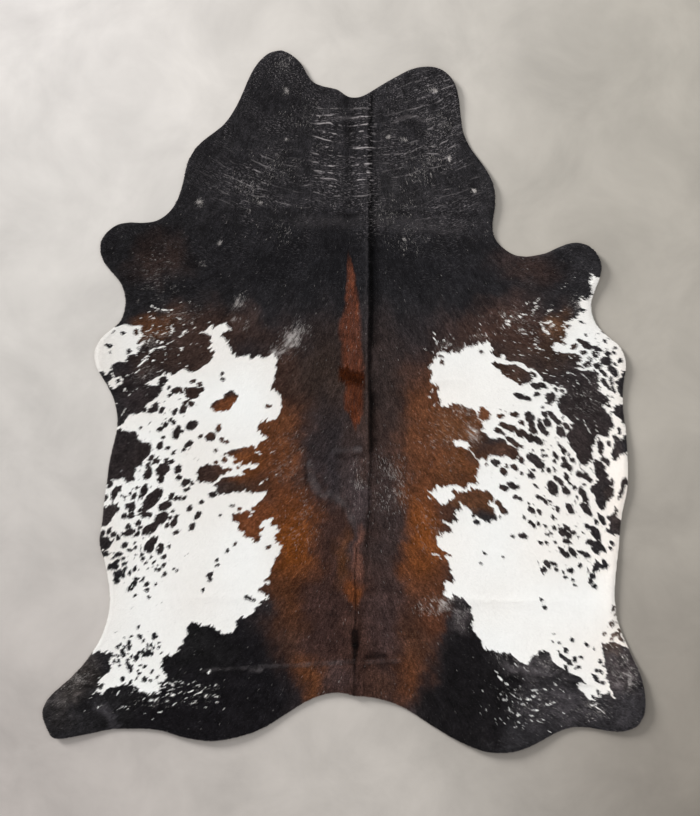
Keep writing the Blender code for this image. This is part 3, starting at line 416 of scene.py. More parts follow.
# White marks in the dark hair: x, y, half length, half width, tilt in degrees.
FLECK_GROWTH = -0.15  # a fleck is drawn smaller all round, since white tufts spread
FLECKS = {
    "left shoulder": [
        (-65, 18.3, 1.9, 0.35, 48), (-63, 19.2, 1.6, 0.25, 40), (-61.6, 16.5, 1.7, 0.45, 44),
        (-58.9, 17.3, 1.5, 0.4, 15), (-56.2, 18.8, 1.6, 0.22, 30), (-59, 18.9, 0.9, 0.4, 25),
        (-58, 21.8, 2.1, 0.22, 18), (-55.9, 22.8, 1.9, 0.35, 78), (-52, 21.7, 1.7, 0.5, 52),
        (-52.6, 16.7, 0.9, 0.5, -25), (-61.6, 26.4, 0.6, 0.5, 0), (-53.5, 26.6, 0.9, 0.3, -50),
        (-61, 29.8, 1.5, 0.25, -28), (-58, 29.1, 0.9, 0.5, -20), (-56.1, 29.2, 0.6, 0.35, -10),
        (-62, 30.6, 0.5, 0.3, -70), (-65, 12.4, 1.9, 0.4, 42), (-66.5, 9.6, 1.3, 0.25, 35),
        (-61.6, 13, 0.7, 0.35, 25), (-70.9, 3.6, 1, 0.4, 70), (-69, 2.3, 0.9, 0.22, 60),
        (-71, -3.4, 1.7, 0.15, 62), (-63.9, 14.3, 0.8, 0.3, 30), (-60.2, 7.2, 1, 0.4, 40),
        (-70.3, 8.2, 0.6, 0.25, 30), (-57, 23.5, 0.7, 0.25, 60), (-63.2, 22.6, 1.2, 0.15, 20),
    ],
    "left band": [
        (-27.8, -16.6, 1.5, 0.3, -15), (-27.2, -26.4, 0.7, 0.4, 40), (-25.6, -25, 0.8, 0.2, 0),
        (-30.6, -37, 0.8, 0.35, 30), (-30, -35.8, 1, 0.35, 20), (-24.6, -20.6, 0.5, 0.2, 30),
        (-23.4, -16.2, 0.7, 0.2, 20), (-22, -23.4, 0.6, 0.2, 10),
    ],
    "left hind leg": [
        (-80.6, -93.4, 1.1, 0.3, 42), (-72.8, -93.6, 1, 0.3, 65), (-57.6, -90.5, 1.1, 0.35, 25),
        (-58.9, -92, 1.1, 0.3, 22), (-56, -90.6, 1, 0.4, -25), (-55.1, -91.1, 0.6, 0.4, 0),
        (-62.3, -95.9, 0.7, 0.35, 35), (-60.8, -95.7, 0.9, 0.3, 32), (-61.8, -97.1, 0.8, 0.2, 25),
        (-57.3, -94, 0.9, 0.25, 25), (-55.3, -94, 1, 0.35, 15), (-55, -97.2, 0.9, 0.28, 32),
        (-57, -95.8, 0.7, 0.25, -30), (-49.5, -92.9, 1.3, 0.3, 26), (-47.3, -93.6, 1.4, 0.25, 22),
        (-46.2, -92.9, 0.6, 0.2, 20), (-47.3, -90.9, 0.8, 0.3, -5), (-43.7, -91.2, 0.6, 0.22, 15),
        (-41.8, -91.1, 0.6, 0.22, 30), (-44.6, -94.4, 0.6, 0.4, 10), (-43, -94.5, 1, 0.2, 0),
        (-41.6, -94.9, 0.9, 0.3, -8), (-49, -96.6, 1, 0.28, 12), (-47.9, -96, 0.6, 0.2, 15),
        (-41, -96.5, 0.6, 0.25, -20), (-43.7, -86.8, 0.8, 0.4, 65), (-59.4, -99.6, 0.7, 0.4, 0),
        (-59, -101, 0.9, 0.18, 32), (-61.6, -101.6, 0.6, 0.18, 40), (-53.3, -91.7, 0.8, 0.22, -15),
        (-52, -91.4, 0.6, 0.2, 20), (-64.7, -95.5, 0.8, 0.25, 35), (-60.2, -93.6, 1, 0.3, 30),
        (-62, -92.4, 1.2, 0.3, 30), (-59.6, -97.9, 0.6, 0.18, 30), (-53, -93.2, 0.8, 0.22, 25),
        (-51, -95, 0.7, 0.2, 20), (-56.6, -92.6, 0.8, 0.25, 20), (-54.4, -89.8, 0.7, 0.25, 20),
        (-58.8, -94.9, 0.7, 0.2, 30), (-44.9, -98, 0.6, 0.15, 10), (-46.4, -86, 0.4, 0.15, 50),
        (-39, -98.6, 0.5, 0.12, 20),
    ],
    "right shoulder": [
        (52.3, 25.6, 1, 0.4, 0), (52.4, 24.5, 1, 0.4, -15), (51.4, 27.8, 0.5, 0.3, 0),
        (53.6, 27, 0.5, 0.3, 0), (50.9, 26.6, 0.6, 0.2, -60), (56.4, 26.9, 0.6, 0.45, 50),
        (57.6, 27.6, 1.1, 0.4, -5), (55.9, 27.4, 0.5, 0.25, 80), (61.2, 29.6, 1.5, 0.35, 42),
        (61.2, 31.4, 0.6, 0.45, 40), (62, 32.6, 0.8, 0.25, 55), (62.7, 33.5, 0.9, 0.2, 40),
        (65.8, 28.9, 0.8, 0.4, 30), (64.8, 27.6, 0.9, 0.2, 50), (58.8, 31.2, 0.9, 0.18, 48),
        (60.6, 28.2, 0.6, 0.2, 60), (57.4, 21.6, 1.4, 0.25, -15), (58.6, 21.4, 0.6, 0.35, 0),
        (56.4, 22.8, 0.7, 0.25, 20), (61.6, 17.7, 1.3, 0.3, -55), (62.6, 16.6, 0.8, 0.3, -60),
        (59.2, 16.8, 0.9, 0.22, -40), (56.4, 14.8, 0.8, 0.25, -40), (56, 16, 0.5, 0.2, -30),
        (43.8, 24.5, 0.6, 0.2, -20), (43, 22.6, 0.9, 0.15, 50), (44.2, 20.9, 0.7, 0.18, -10),
        (42, 20.4, 0.5, 0.15, 30), (61.2, 20, 1, 0.2, -40), (54.8, 18.8, 0.6, 0.15, -40),
        (60.4, 22.8, 0.8, 0.2, -20), (63.6, 23.4, 1.6, 0.35, -70), (65.2, 25.2, 1.7, 0.5, 10),
        (65, 22, 1, 0.5, -40), (66.6, 24.2, 0.9, 0.5, 20), (62.8, 25, 0.7, 0.3, 0),
        (50.8, 14.6, 0.7, 0.4, 0), (68.2, 27.4, 0.8, 0.18, 70), (70.5, 36.8, 1.3, 0.12, 55),
        (66.8, 33, 0.4, 0.25, 40), (38.6, 17.8, 0.7, 0.15, 50), (33, 17.6, 1.3, 0.2, 35),
        (31.2, 16.8, 0.9, 0.2, 30),
    ],
    "right flank": [
        (76.8, -6.8, 1.9, 0.16, -70), (78, -9, 1.6, 0.14, -60), (80.8, -7.6, 1.4, 0.16, -65),
        (73, 8.9, 1.8, 0.16, -28), (77, 7.8, 2.2, 0.16, -42), (78.6, 6, 1.6, 0.14, -50),
        (67.4, 8.6, 0.5, 0.2, 0), (69.8, 8.2, 0.5, 0.15, -20), (81, -9.8, 0.8, 0.15, -70),
        (75, 5.6, 1.2, 0.12, -45), (74.6, -5.6, 0.8, 0.12, -60),
    ],
    "right band": [
        (41.4, -17.3, 2, 0.22, -52), (28.6, -30.3, 1.6, 0.3, -30), (27.2, -31, 1.2, 0.25, -20),
        (29.4, -49.2, 1.6, 0.35, -10), (31, -50.6, 1.2, 0.2, -35), (28.8, -1, 1.4, 0.2, 20),
        (27.4, 1.2, 0.9, 0.2, 30), (28, 3.2, 0.9, 0.2, 20), (35.4, -3.2, 0.9, 0.15, 10),
        (41.6, -9.6, 0.9, 0.15, -20), (36.8, -4.6, 0.8, 0.12, 0),
    ],
    "right hind leg": [
        (49.7, -88.7, 1.2, 0.45, -42), (51.9, -90.6, 0.75, 0.4, -10), (54.3, -92.4, 0.5, 0.25, -20),
        (50.1, -93.9, 0.65, 0.22, -10), (51.2, -95.7, 1.2, 0.35, -8), (54.6, -93.7, 0.4, 0.25, -30),
        (60.8, -92.6, 1.2, 0.35, 10), (61.7, -93.4, 0.6, 0.35, 80), (60.7, -94.5, 0.8, 0.35, 25),
        (58.6, -95.4, 1.4, 0.35, -8), (56.6, -95.6, 0.6, 0.25, -10), (62.4, -95.6, 0.4, 0.3, 0),
        (64.2, -92.4, 0.7, 0.35, -20), (66.6, -92.1, 0.4, 0.2, -20), (65.6, -97, 1.1, 0.4, 20),
        (67, -96.6, 0.6, 0.25, 20), (63.8, -97.3, 0.8, 0.25, 15), (61, -99, 1.5, 0.33, 0),
        (60, -100.8, 0.65, 0.3, -10), (55.9, -100.6, 0.8, 0.42, -5), (53.6, -99.6, 1, 0.25, -28),
        (59.8, -102.3, 0.6, 0.3, -10), (57.2, -97.2, 0.9, 0.25, -10), (55.7, -96.5, 0.5, 0.2, -10),
        (52.4, -101.5, 0.5, 0.2, 0), (54.8, -104.4, 0.6, 0.18, 20), (57.2, -104.8, 0.6, 0.2, 15),
        (62.6, -102.6, 0.9, 0.2, -30), (79.2, -97.4, 1.2, 0.35, 10), (81, -98, 0.9, 0.3, -40),
        (80.6, -96.8, 0.7, 0.3, 45), (82.6, -99.4, 1, 0.2, -45), (86, -94.9, 0.7, 0.25, -40),
        (64, -104.8, 0.5, 0.2, 0), (65.6, -105.6, 0.8, 0.2, -30), (56.6, -86.6, 0.6, 0.2, -50),
        (55, -84.6, 1.3, 0.2, -45), (58, -86, 0.8, 0.15, -45), (50.6, -85.4, 0.9, 0.12, -40),
        (48.6, -86.6, 0.7, 0.12, -20), (57, -88.8, 0.7, 0.15, -20), (69.6, -92.6, 0.5, 0.12, -20),
        (46, -78.8, 0.9, 0.2, -30), (46.2, -79.8, 0.8, 0.18, 0),
    ],
}


# ------------------------------------------------------------------ noise and the run of the hair
def hashed(ix, iy, seed):
    """A repeatable number from 0 to 1 for every whole-number cell."""
    stirred = (ix * 374761393 + iy * 668265263 + seed * 974634777) & 0xFFFFFFFF
    stirred = ((stirred ^ (stirred >> 13)) * 1274126177) & 0xFFFFFFFF
    return ((stirred ^ (stirred >> 16)) & 0xFFFFFF) / 0xFFFFFF


def noise(x, y, seed):
    """Smooth noise from -1 to 1 whose features are one unit across."""
    ix, iy = np.floor(x).astype(np.int64), np.floor(y).astype(np.int64)
    u, v = x - ix, y - iy
    u, v = u * u * (3 - 2 * u), v * v * (3 - 2 * v)
    low = hashed(ix, iy, seed) * (1 - u) + hashed(ix + 1, iy, seed) * u
    high = hashed(ix, iy + 1, seed) * (1 - u) + hashed(ix + 1, iy + 1, seed) * u
    return 2 * (low * (1 - v) + high * v) - 1


def drifted(value, x, y, *layers):
    """The value with layers of noise on it, each (strength, size of its features, seed)."""
    for strength, size, seed in layers:
        value = value + strength * noise(x / size, y / size, seed)
    return value


def step(value, start, end):
    """0 up to start and 1 from end on, with a smooth rise between."""
    along = np.clip((value - start) / (end - start), 0, 1)
    return along * along * (3 - 2 * along)


SPINE_X = 6.0
HAIR_BY_THE_BACK, HAIR_ON_THE_SIDE = 28, 66  # how far from the spine the two turns below hold
HAIR_PARTING = 14  # how far from the spine the turn has mostly set in
HAIR_TURNS = np.array([
    # y, and the turn away from the tail direction in degrees: near the back, out on the side
    (112, 18, 22), (62, 26, 40), (38, 34, 78), (14, 42, 72), (-12, 48, 48), (-55, 44, 40), (-80, 40, 52),
    (-106, 36, 62),
], float)


def hair_run(x, y):
    """The unit direction that the hair lies in."""
    away = x - SPINE_X
    rows = HAIR_TURNS[::-1]
    near, far = (np.interp(y, rows[:, 0], rows[:, column]) for column in (1, 2))
    turn = near + (far - near) * step(np.abs(away), HAIR_BY_THE_BACK, HAIR_ON_THE_SIDE)
    turn = np.radians(turn * (1 - np.exp(-np.abs(away) / HAIR_PARTING))) * np.sign(away)
    turn = drifted(turn, x, y, (0.16, 9, 41), (0.1, 3.2, 42))
    return np.sin(turn), -np.cos(turn)


def streaks(x, y, dx, dy, size, seed):
    """Noise drawn out along the hair, about -1 to 1."""
    total = 0
    for k in range(-3, 4):
        total = total + noise((x + dx * size * k * 1.1) / size, (y + dy * size * k * 1.1) / size, seed)
    return np.clip(total / 2.4, -1.3, 1.3)


# ------------------------------------------------------------------ shapes
SMALL_OVAL = 0.7  # an oval narrower than this, in half widths, grows more
SMALL_GROWTH = 1.6
LEAST_OVAL = 0.05


def close_to(x, y, cx, cy, reach_x, reach_y):
    """The numbers of the places in the box about (cx, cy)."""
    return np.nonzero((np.abs(x - cx) < reach_x) & (np.abs(y - cy) < reach_y))[0]


def far_from(x, y, cx, cy, wide, high, tilt):
    """How far a place is from an oval's middle: 1 on its edge."""
    angle = np.radians(tilt)
    u, v = x - cx, y - cy
    along, across = u * np.cos(angle) + v * np.sin(angle), v * np.cos(angle) - u * np.sin(angle)
    return np.hypot(along / wide, across / high)


def bell(x, y, cx, cy, wide, high, power=2):
    """1 at the middle, falling away all round; a high power makes it flat inside and steep at the edge."""
    return np.exp(-(((x - cx) / wide) ** power) - (((y - cy) / high) ** power))


def ridge(value, middle, half, power):
    """1 at the middle value, falling away on both sides."""
    return np.exp(-(((value - middle) / half) ** power))


def inside(x, y, corners):
    """Which points lie inside the polygon."""
    corners = np.asarray(corners, float)
    found = np.zeros(x.shape, bool)
    for (ax, ay), (bx, by) in zip(corners, np.roll(corners, -1, axis=0)):
        if ay != by:
            found ^= ((ay > y) != (by > y)) & (x < (bx - ax) * (y - ay) / (by - ay) + ax)
    return found


def in_patches(x, y, patches):
    """Which points lie inside one of the patches."""
    found = np.zeros(x.shape, bool)
    for corners in patches.values():
        corners = np.asarray(corners, float)
        (west, south), (east, north) = corners.min(0), corners.max(0)
        near = np.nonzero((x > west) & (x < east) & (y > south) & (y < north))[0]
        found[near] |= inside(x[near], y[near], corners)
    return found


def in_ovals(x, y, ovals, tilt, grow):
    """Which points lie inside one of the ovals, after each has grown on all sides; small ones grow more."""
    order = np.argsort(y, kind="stable")
    sorted_y = y[order]
    found = np.zeros(x.shape, bool)
    for row in ovals:
        cx, cy, long, wide = row[:4]
        angle = np.radians(row[4] if len(row) > 4 else tilt)
        more = grow * (SMALL_GROWTH if grow > 0 and wide < SMALL_OVAL else 1.0)
        long, wide = max(long + more, LEAST_OVAL), max(wide + more, LEAST_OVAL)
        reach = max(long, wide)
        first, last = np.searchsorted(sorted_y, (cy - reach, cy + reach))
        near = order[first:last]
        near = near[np.abs(x[near] - cx) < reach]
        u, v = x[near] - cx, y[near] - cy
        along, across = u * np.cos(angle) + v * np.sin(angle), v * np.cos(angle) - u * np.sin(angle)
        found[near] |= (along / long) ** 2 + (across / wide) ** 2 < 1
    return found


# ------------------------------------------------------------------ the dark coat
# Chart colours are screen colours, red, green and blue from 0 to 255.
BLACK = (28, 26, 29)
GLOSS = 0.009  # the shine on dark hair, put into its colour because the shader itself has hardly any
WARM_GLOSS = (0.0, 0.3, 0.65)  # the share of it, in red, green and blue, that tan hair lacks
STRIPE_RED = (99, 57, 42)
STRIPE_LOW_RED = (88, 46, 29)  # below the cowlick
COWLICK_RED = (48, 19, 5)
BROWN_DEPTH = (0.0, 0.018, 0.03)  # brown hair is this much stronger in colour than its chart


def linear(rgb):
    """A chart colour as an amount of light."""
    screen = np.asarray(rgb, float) / 255
    return np.where(screen < 0.04045, screen / 12.92, ((screen + 0.055) / 1.055) ** 2.4)


def lit(rgb):
    """The colour of hair that looks like this chart colour in the light."""
    plain = linear(rgb)
    shine = GLOSS * np.clip(plain / linear(BLACK), 0, 1)
    tan = np.clip((0.8 - plain[2] / plain[1]) / 0.5, 0, 1)
    return plain + shine * (1 - tan * np.array(WARM_GLOSS))


def towards(colour, target, share):
    """The colours moved by this share of the way to the target."""
    return colour + share[:, None] * (target - colour)


# Where the dark coat isn't black. Most rows are the coat's own colour, but three are painted sheen, grey
# where the hair catches the light: (17, 66) beside the spine fold, (-51, 76) by the curled left edge and
# (-5.5, -27) below the diagonal fold.
TINTS = [
    # x, y, half width, half height, tilt, softness of the edge, strength, colour
    (3, 12, 75, 17, 0, 1, 1, (36, 30, 32)), (4, 44, 62, 15, 0, 1, 0.8, (16, 15, 18)),
    (-62, 46, 14, 11, 0, 1, 0.6, (18, 17, 19)), (-66, -100, 24, 10, 0, 0.9, 0.7, (14, 13, 14)),
    (17, 66, 10, 8, 30, 1, 0.6, (36, 34, 36)), (-51, 76, 2.6, 6.5, -12, 0.9, 0.6, (54, 51, 54)),
    (-48, 15, 12, 8, 0, 0.8, 0.8, (60, 42, 35)), (-49, 3, 5.5, 4.5, 0, 0.6, 0.8, (64, 44, 36)),
    (-43, -10.5, 5.5, 4.5, 0, 0.6, 0.95, (104, 62, 38)), (53, -6, 8, 5, -20, 0.7, 0.8, (72, 46, 31)),
    (64, 16, 12, 7, 0, 0.9, 0.8, (60, 42, 31)), (54, 9, 7, 4, -25, 0.7, 0.85, (74, 48, 34)),
    (-60.5, 45, 10, 7, 20, 1, 0.7, (52, 36, 31)), (-41, 23.5, 21, 7, -8, 1, 0.8, (60, 41, 34)),
    (-61, 25, 8, 4.6, 10, 0.9, 0.85, (94, 60, 40)), (-66, 4, 8, 12, 10, 0.8, 0.7, (42, 33, 33)),
    (-60, 14, 9, 6, 10, 0.8, 0.75, (56, 40, 34)), (-76, -28, 9, 24, 0, 0.8, 0.7, (44, 36, 36)),
    (-50, -28, 22, 34, 0, 0.7, 0.75, (46, 35, 33)), (59, 42, 11, 6, -15, 1, 0.75, (54, 37, 32)),
    (50, 23, 18, 9, 8, 1, 0.85, (64, 42, 34)), (68, 23.5, 4.5, 4, 0, 0.9, 0.85, (88, 61, 43)),
    (57, 12, 12, 6, -20, 0.9, 0.75, (54, 39, 34)), (78, -8, 12, 22, 0, 0.8, 0.8, (40, 32, 32)),
    (64, -25, 20, 34, 0, 0.7, 0.7, (44, 35, 34)), (4, -18, 31, 36, 0, 0.9, 0.95, (57, 39, 33)),
    (3, -72, 27, 36, 0, 0.7, 0.95, (57, 34, 28)), (-19, 4, 9, 13, 12, 1, 0.75, (66, 43, 34)),
    (-21, -13, 13, 13, 20, 1, 0.9, (98, 58, 36)), (-32.5, -20, 9.5, 6.5, 10, 0.5, 0.95, (106, 62, 36)),
    (-43.5, -23.4, 6, 4.5, 0, 0.5, 0.8, (60, 40, 33)), (-33, -28, 9, 2.6, 6, 0.8, 0.6, (66, 46, 36)),
    (-30, -38, 8.5, 8, 20, 0.5, 0.95, (108, 62, 39)), (-17, -32, 9, 15, 4, 1, 0.9, (104, 60, 37)),
    (-16, -46, 9, 13, 0, 1, 0.95, (118, 65, 30)), (-22, -57, 5, 8, 10, 1, 0.7, (86, 49, 30)),
    (-17, -66, 7, 11, 10, 1, 0.8, (80, 46, 28)), (-37, -4, 7.5, 6.5, 10, 0.5, 0.95, (106, 62, 39)),
    (27, -6, 13, 19, -14, 1, 0.9, (95, 57, 37)), (37, -8, 8, 8, 0, 0.8, 0.85, (98, 62, 40)),
    (45, -4.3, 4, 4, 0, 0.5, 0.95, (92, 56, 36)), (48.5, -16.5, 9, 4, 0, 0.7, 0.8, (70, 45, 34)),
    (37, -22, 8.5, 7, 0, 0.8, 0.9, (100, 60, 36)), (42, -31, 9, 5, 10, 0.6, 0.9, (82, 52, 34)),
    (25.5, -36, 7.5, 20, 0, 1, 0.9, (102, 59, 35)), (25, -46, 7, 12, 0, 1, 0.9, (113, 63, 32)),
    (27, -60, 7, 10, 0, 1, 0.8, (82, 47, 30)), (22, -74, 7, 12, 0, 1, 0.7, (64, 38, 28)),
    (-5, 8, 12, 14, 0, 1, 0.8, (45, 32, 27)), (13, 4, 7, 20, 0, 1, 0.85, (41, 31, 29)),
    (-6, -14, 9, 15, 0, 1, 0.9, (38, 33, 36)), (-5.5, -27, 7.5, 8, -30, 1, 0.7, (45, 40, 44)),
    (-4, -45, 8, 12, 0, 1, 0.7, (61, 38, 32)), (12.5, -36, 6.5, 28, 0, 1, 0.9, (48, 36, 35)),
    (-8, -70, 7, 13, 0, 1, 0.7, (53, 33, 30)), (-17.5, -79, 5.5, 8, -8, 1, 0.75, (66, 41, 30)),
    (21, -79, 6, 8, 0, 1, 0.7, (68, 40, 27)), (11.5, -71, 5, 13, 0, 1, 0.75, (56, 40, 39)),
    (3.4, -34, 3.4, 18, 0, 0.8, 0.75, (64, 54, 56)), (4.6, -50, 1.9, 9, 0, 0.9, 0.75, (104, 67, 55)),
    (-0.6, -53, 2.4, 9, 0, 0.9, 0.65, (84, 50, 28)), (3.4, -62.5, 2.6, 5, 0, 0.9, 0.75, (104, 56, 29)),
    (35.5, -24.5, 6, 5, 0, 0.8, 0.6, (72, 44, 30)), (27, -12.6, 2, 1.4, 0, 0.9, 0.6, (78, 47, 32)),
    (-15.5, -23.5, 4.5, 3.5, 0, 0.9, 0.75, (62, 42, 35)), (-3, -88.5, 5.5, 5, -20, 0.9, 0.8, (65, 47, 45)),
    (10, -89, 4.5, 6, 0, 0.9, 0.7, (68, 43, 33)), (-12.5, -90, 5, 6.5, 20, 1, 0.8, (96, 56, 33)),
    (20.5, -89, 5.5, 8.5, -16, 1, 0.75, (88, 50, 30)), (28, -71, 3.5, 4.5, 0, 0.9, 0.6, (88, 49, 31)),
    (-42, -98, 26.5, 34, 0, 0.35, 1, (16, 14, 17)), (-47, -79, 12, 9, 0, 1, 0.7, (18, 17, 18)),
    (43, -90.5, 30, 17, 69, 0.4, 1, (14, 12, 14)), (-76.5, -99, 2.6, 7, 30, 0.9, 0.8, (68, 65, 69)),
    (-86, -89, 5, 10, -45, 0.9, 0.8, (64, 58, 55)), (-92, -97, 5, 6, 0, 0.9, 0.6, (54, 50, 50)),
    (-87.5, -98, 4, 2.6, 0, 0.8, 0.7, (30, 28, 30)), (60, -85.5, 14, 4.5, -8, 0.9, 0.85, (60, 56, 58)),
    (68, -97, 12, 7, -8, 1, 0.7, (53, 49, 52)), (38, -68.5, 4.5, 6, 0, 0.8, 0.85, (62, 56, 57)),
    (89, -85, 6.5, 10.5, 10, 0.9, 0.9, (59, 52, 53)), (88, -99, 8, 7, 0, 0.9, 0.8, (46, 43, 46)),
    (86, -72, 4, 7, 0, 0.5, 0.9, (92, 76, 68)), (87.5, -32, 3, 16, 0, 0.8, 0.5, (66, 53, 49)),
]
# The reddish stripe along the back, from its lower point up.
STRIPE = np.array([
    # x, y, half width
    (3.2, -9, 0.3), (3, -2, 3), (2.4, 10.5, 3.5), (2, 18, 3.7), (1.9, 25, 3.5), (2.2, 32, 2.6),
    (1.8, 40, 1.4), (1.5, 48.5, 0.3),
], float)


def tinted(x, y):
    """The colour of the dark hair from the chart of tints; the later tints lie over the earlier ones."""
    wx = drifted(x, x, y, (2.4, 6, 21), (1.0, 2.2, 22))
    wy = drifted(y, x, y, (3.0, 6, 23), (1.2, 2.2, 24))
    colour = np.tile(lit(BLACK), (len(x), 1))
    for cx, cy, wide, high, tilt, soft, strength, rgb in TINTS:
        reach = 1.7 * max(wide, high)
        near = close_to(wx, wy, cx, cy, reach, reach)
        far = far_from(wx[near], wy[near], cx, cy, wide, high, tilt)
        share = strength * (1 - step(far, 1 - 0.85 * soft, 1 + 0.55 * soft))
        colour[near] = towards(colour[near], lit(rgb), share)
    return colour, wx


def dark_coat(x, y):
    """The colour of the dark hair: the tints, the stripe along the back and the cowlick across it."""
    colour, wx = tinted(x, y)
    middle = np.interp(y, STRIPE[:, 1], STRIPE[:, 0])
    half = np.interp(y, STRIPE[:, 1], STRIPE[:, 2])
    share = 1 - step(np.abs(x + 0.3 * (wx - x) - middle) / np.maximum(half, 0.1), 0.6, 1.2)
    share = share * step(y, -11, -5) * (1 - step(y, 42, 49))
    strands = 0.8 + 0.25 * noise(x / 0.35, y / 3, 25) + 0.15 * noise(x / 1.2, y / 6, 26)
    red = towards(linear(STRIPE_RED), linear(STRIPE_LOW_RED), step(y, 13, 3))
    colour = towards(colour, red, share * strands)
    band = y - 8.2 + 0.24 * (x - 2) + 0.5 * noise(x / 0.5, y / 2, 27)
    share = (1 - step(band, 1.4, 2.6)) * (1 - step(-band, 1.5, 4.2)) * (1 - step(np.abs(x - 2.2), 3.4, 5.2))
    colour = towards(colour, linear(COWLICK_RED), 0.95 * share)
    brown = np.maximum(colour[:, 0] - colour[:, 2], 0)[:, None]
    return colour - brown * BROWN_DEPTH


# Where pale hairs are mixed into the dark coat.
ROAN = [
    # x, y, half width, half height, tilt, share of pale hairs
    (-17, 19.5, 4.6, 8, -36, 1.1), (-21.5, 15.5, 5, 3.4, 20, 1), (-34, 31, 4.5, 2.5, 60, 1.1),
    (-35, 26.5, 2.5, 1.5, 0, 1), (-32, 24, 2, 2, 0, 0.9), (15, -27, 9, 12, 0, 0.45),
    (14.5, -26, 6, 9, 0, 0.5), (-14, -37, 8, 14, 0, 0.28), (-18, -18, 8, 12, 0, 0.28),
    (28, -42, 6, 10, 0, 0.3), (30, -65, 8, 3.4, 12, 1.3), (38, -3, 6, 2.6, 0, 1.1), (41, -10, 3, 5, 0, 1.1),
    (32, -12, 9, 12, 0, 0.3), (64.5, 23.5, 3.6, 3, 0, 0.9), (57, 22.8, 2.2, 1.6, 0, 0.6),
    (32, 18.3, 3.6, 1.8, 20, 0.4), (37, 16.8, 3, 1.5, 0, 0.4), (-66.5, 32, 1.4, 0.7, 60, 0.8),
    (-64, 9, 6, 4, 40, 0.5), (-60, 20, 8, 4, 30, 0.5), (-54, 27, 11, 4, 10, 0.4),
    (-60, -94, 10, 5, 25, 0.25), (-47, -93, 10, 5, 10, 0.2), (4.1, -25, 2.4, 9, 0, 0.6),
    (-85, -88.5, 4, 8, -45, 0.6), (-91.5, -95.5, 3, 3, 0, 0.6), (60, -96, 13, 8, -10, 0.3),
    (89.5, -86.5, 6, 8, 0, 0.95), (80, -98, 7, 5, 0, 0.5), (37.5, -68.5, 4, 5.5, 0, 0.5),
    (52, -82.5, 6, 3, -10, 0.7), (64, -84.5, 6, 4, -10, 0.5), (47, -79, 4, 2.4, 0, 0.6),
    (83, 5, 5, 8, 0, 0.35), (56, 25, 13, 7, 0, 0.35), (74, 30.5, 3, 4.5, 0, 0.6), (44, 20.5, 5, 3, 30, 0.5),
    (76, 0, 8, 8, 0, 0.3), (2, 26, 3, 16, 0, 0.12), (-27, 64.4, 2, 1.5, -20, 1.9),
    (-25, 62.4, 1.4, 1.2, 0, 1.6), (-46.6, 63.5, 1.6, 1.6, 0, 1.2), (-18.8, 84, 1.3, 0.9, -30, 1.6),
    (18.6, 83.6, 2, 1, 0, 1.3), (13.8, 84.8, 1, 1, 0, 1.2), (33, 77.4, 1.3, 1.8, -30, 1.4),
    (41.2, 67.4, 1.3, 0.9, 0, 1.7), (19.2, 52.2, 1.4, 1, 40, 1.5), (-19.5, 109, 2.6, 2.4, 0, 1.3),
    (-19, 99.5, 1.6, 1.6, 0, 1), (-31, 60, 1.4, 1.6, 0, 1.3), (-24, 62, 3, 1.6, -30, 0.6),
    (29.5, 99.6, 3.6, 1.1, 0, 1.3), (-40, 51, 1.4, 1.6, 0, 1), (-45.5, 44, 1.4, 1, 0, 1),
    (-46, 44.5, 2, 1.6, 0, 0.5), (45.5, 54, 1.5, 1.5, 0, 0.5), (-25, 73, 6, 4, 0, 0.45),
    (-20, 55, 5, 6, 0, 0.35), (20, 52, 8, 6, 0, 0.3), (-60, 40, 8, 10, 0, 0.3), (-22, 76, 10, 5, -20, 0.35),
    (-31, 68, 8, 4, -30, 0.45), (26, 76, 12, 7, 25, 0.35), (30, 88, 8, 6, 0, 0.3), (-14, 92, 8, 6, 0, 0.25),
    (15, 62, 10, 6, 20, 0.3), (-20, 108, 6, 5, 0, 0.35),
]


def roan_share(x, y):
    """The share of pale hairs in the dark coat, in streaks."""
    share = np.zeros(x.shape)
    for cx, cy, wide, high, tilt, most in ROAN:
        reach = 1.3 * max(wide, high)
        near = close_to(x, y, cx, cy, reach, reach)
        far = far_from(x[near], y[near], cx, cy, wide, high, tilt)
        share[near] = np.maximum(share[near], most * (1 - step(far, 0.1, 1.25)))
    near = np.nonzero(share)[0]
    x, y = x[near], y[near]
    dx, dy = hair_run(x, y)
    ragged = drifted(0.35 * streaks(x, y, dx, dy, 0.3, 15), x, y, (0.75, 0.7, 16), (0.55, 2.6, 17))
    share[near] *= np.clip(0.45 + 0.9 * ragged, 0, 1.1)
    return share
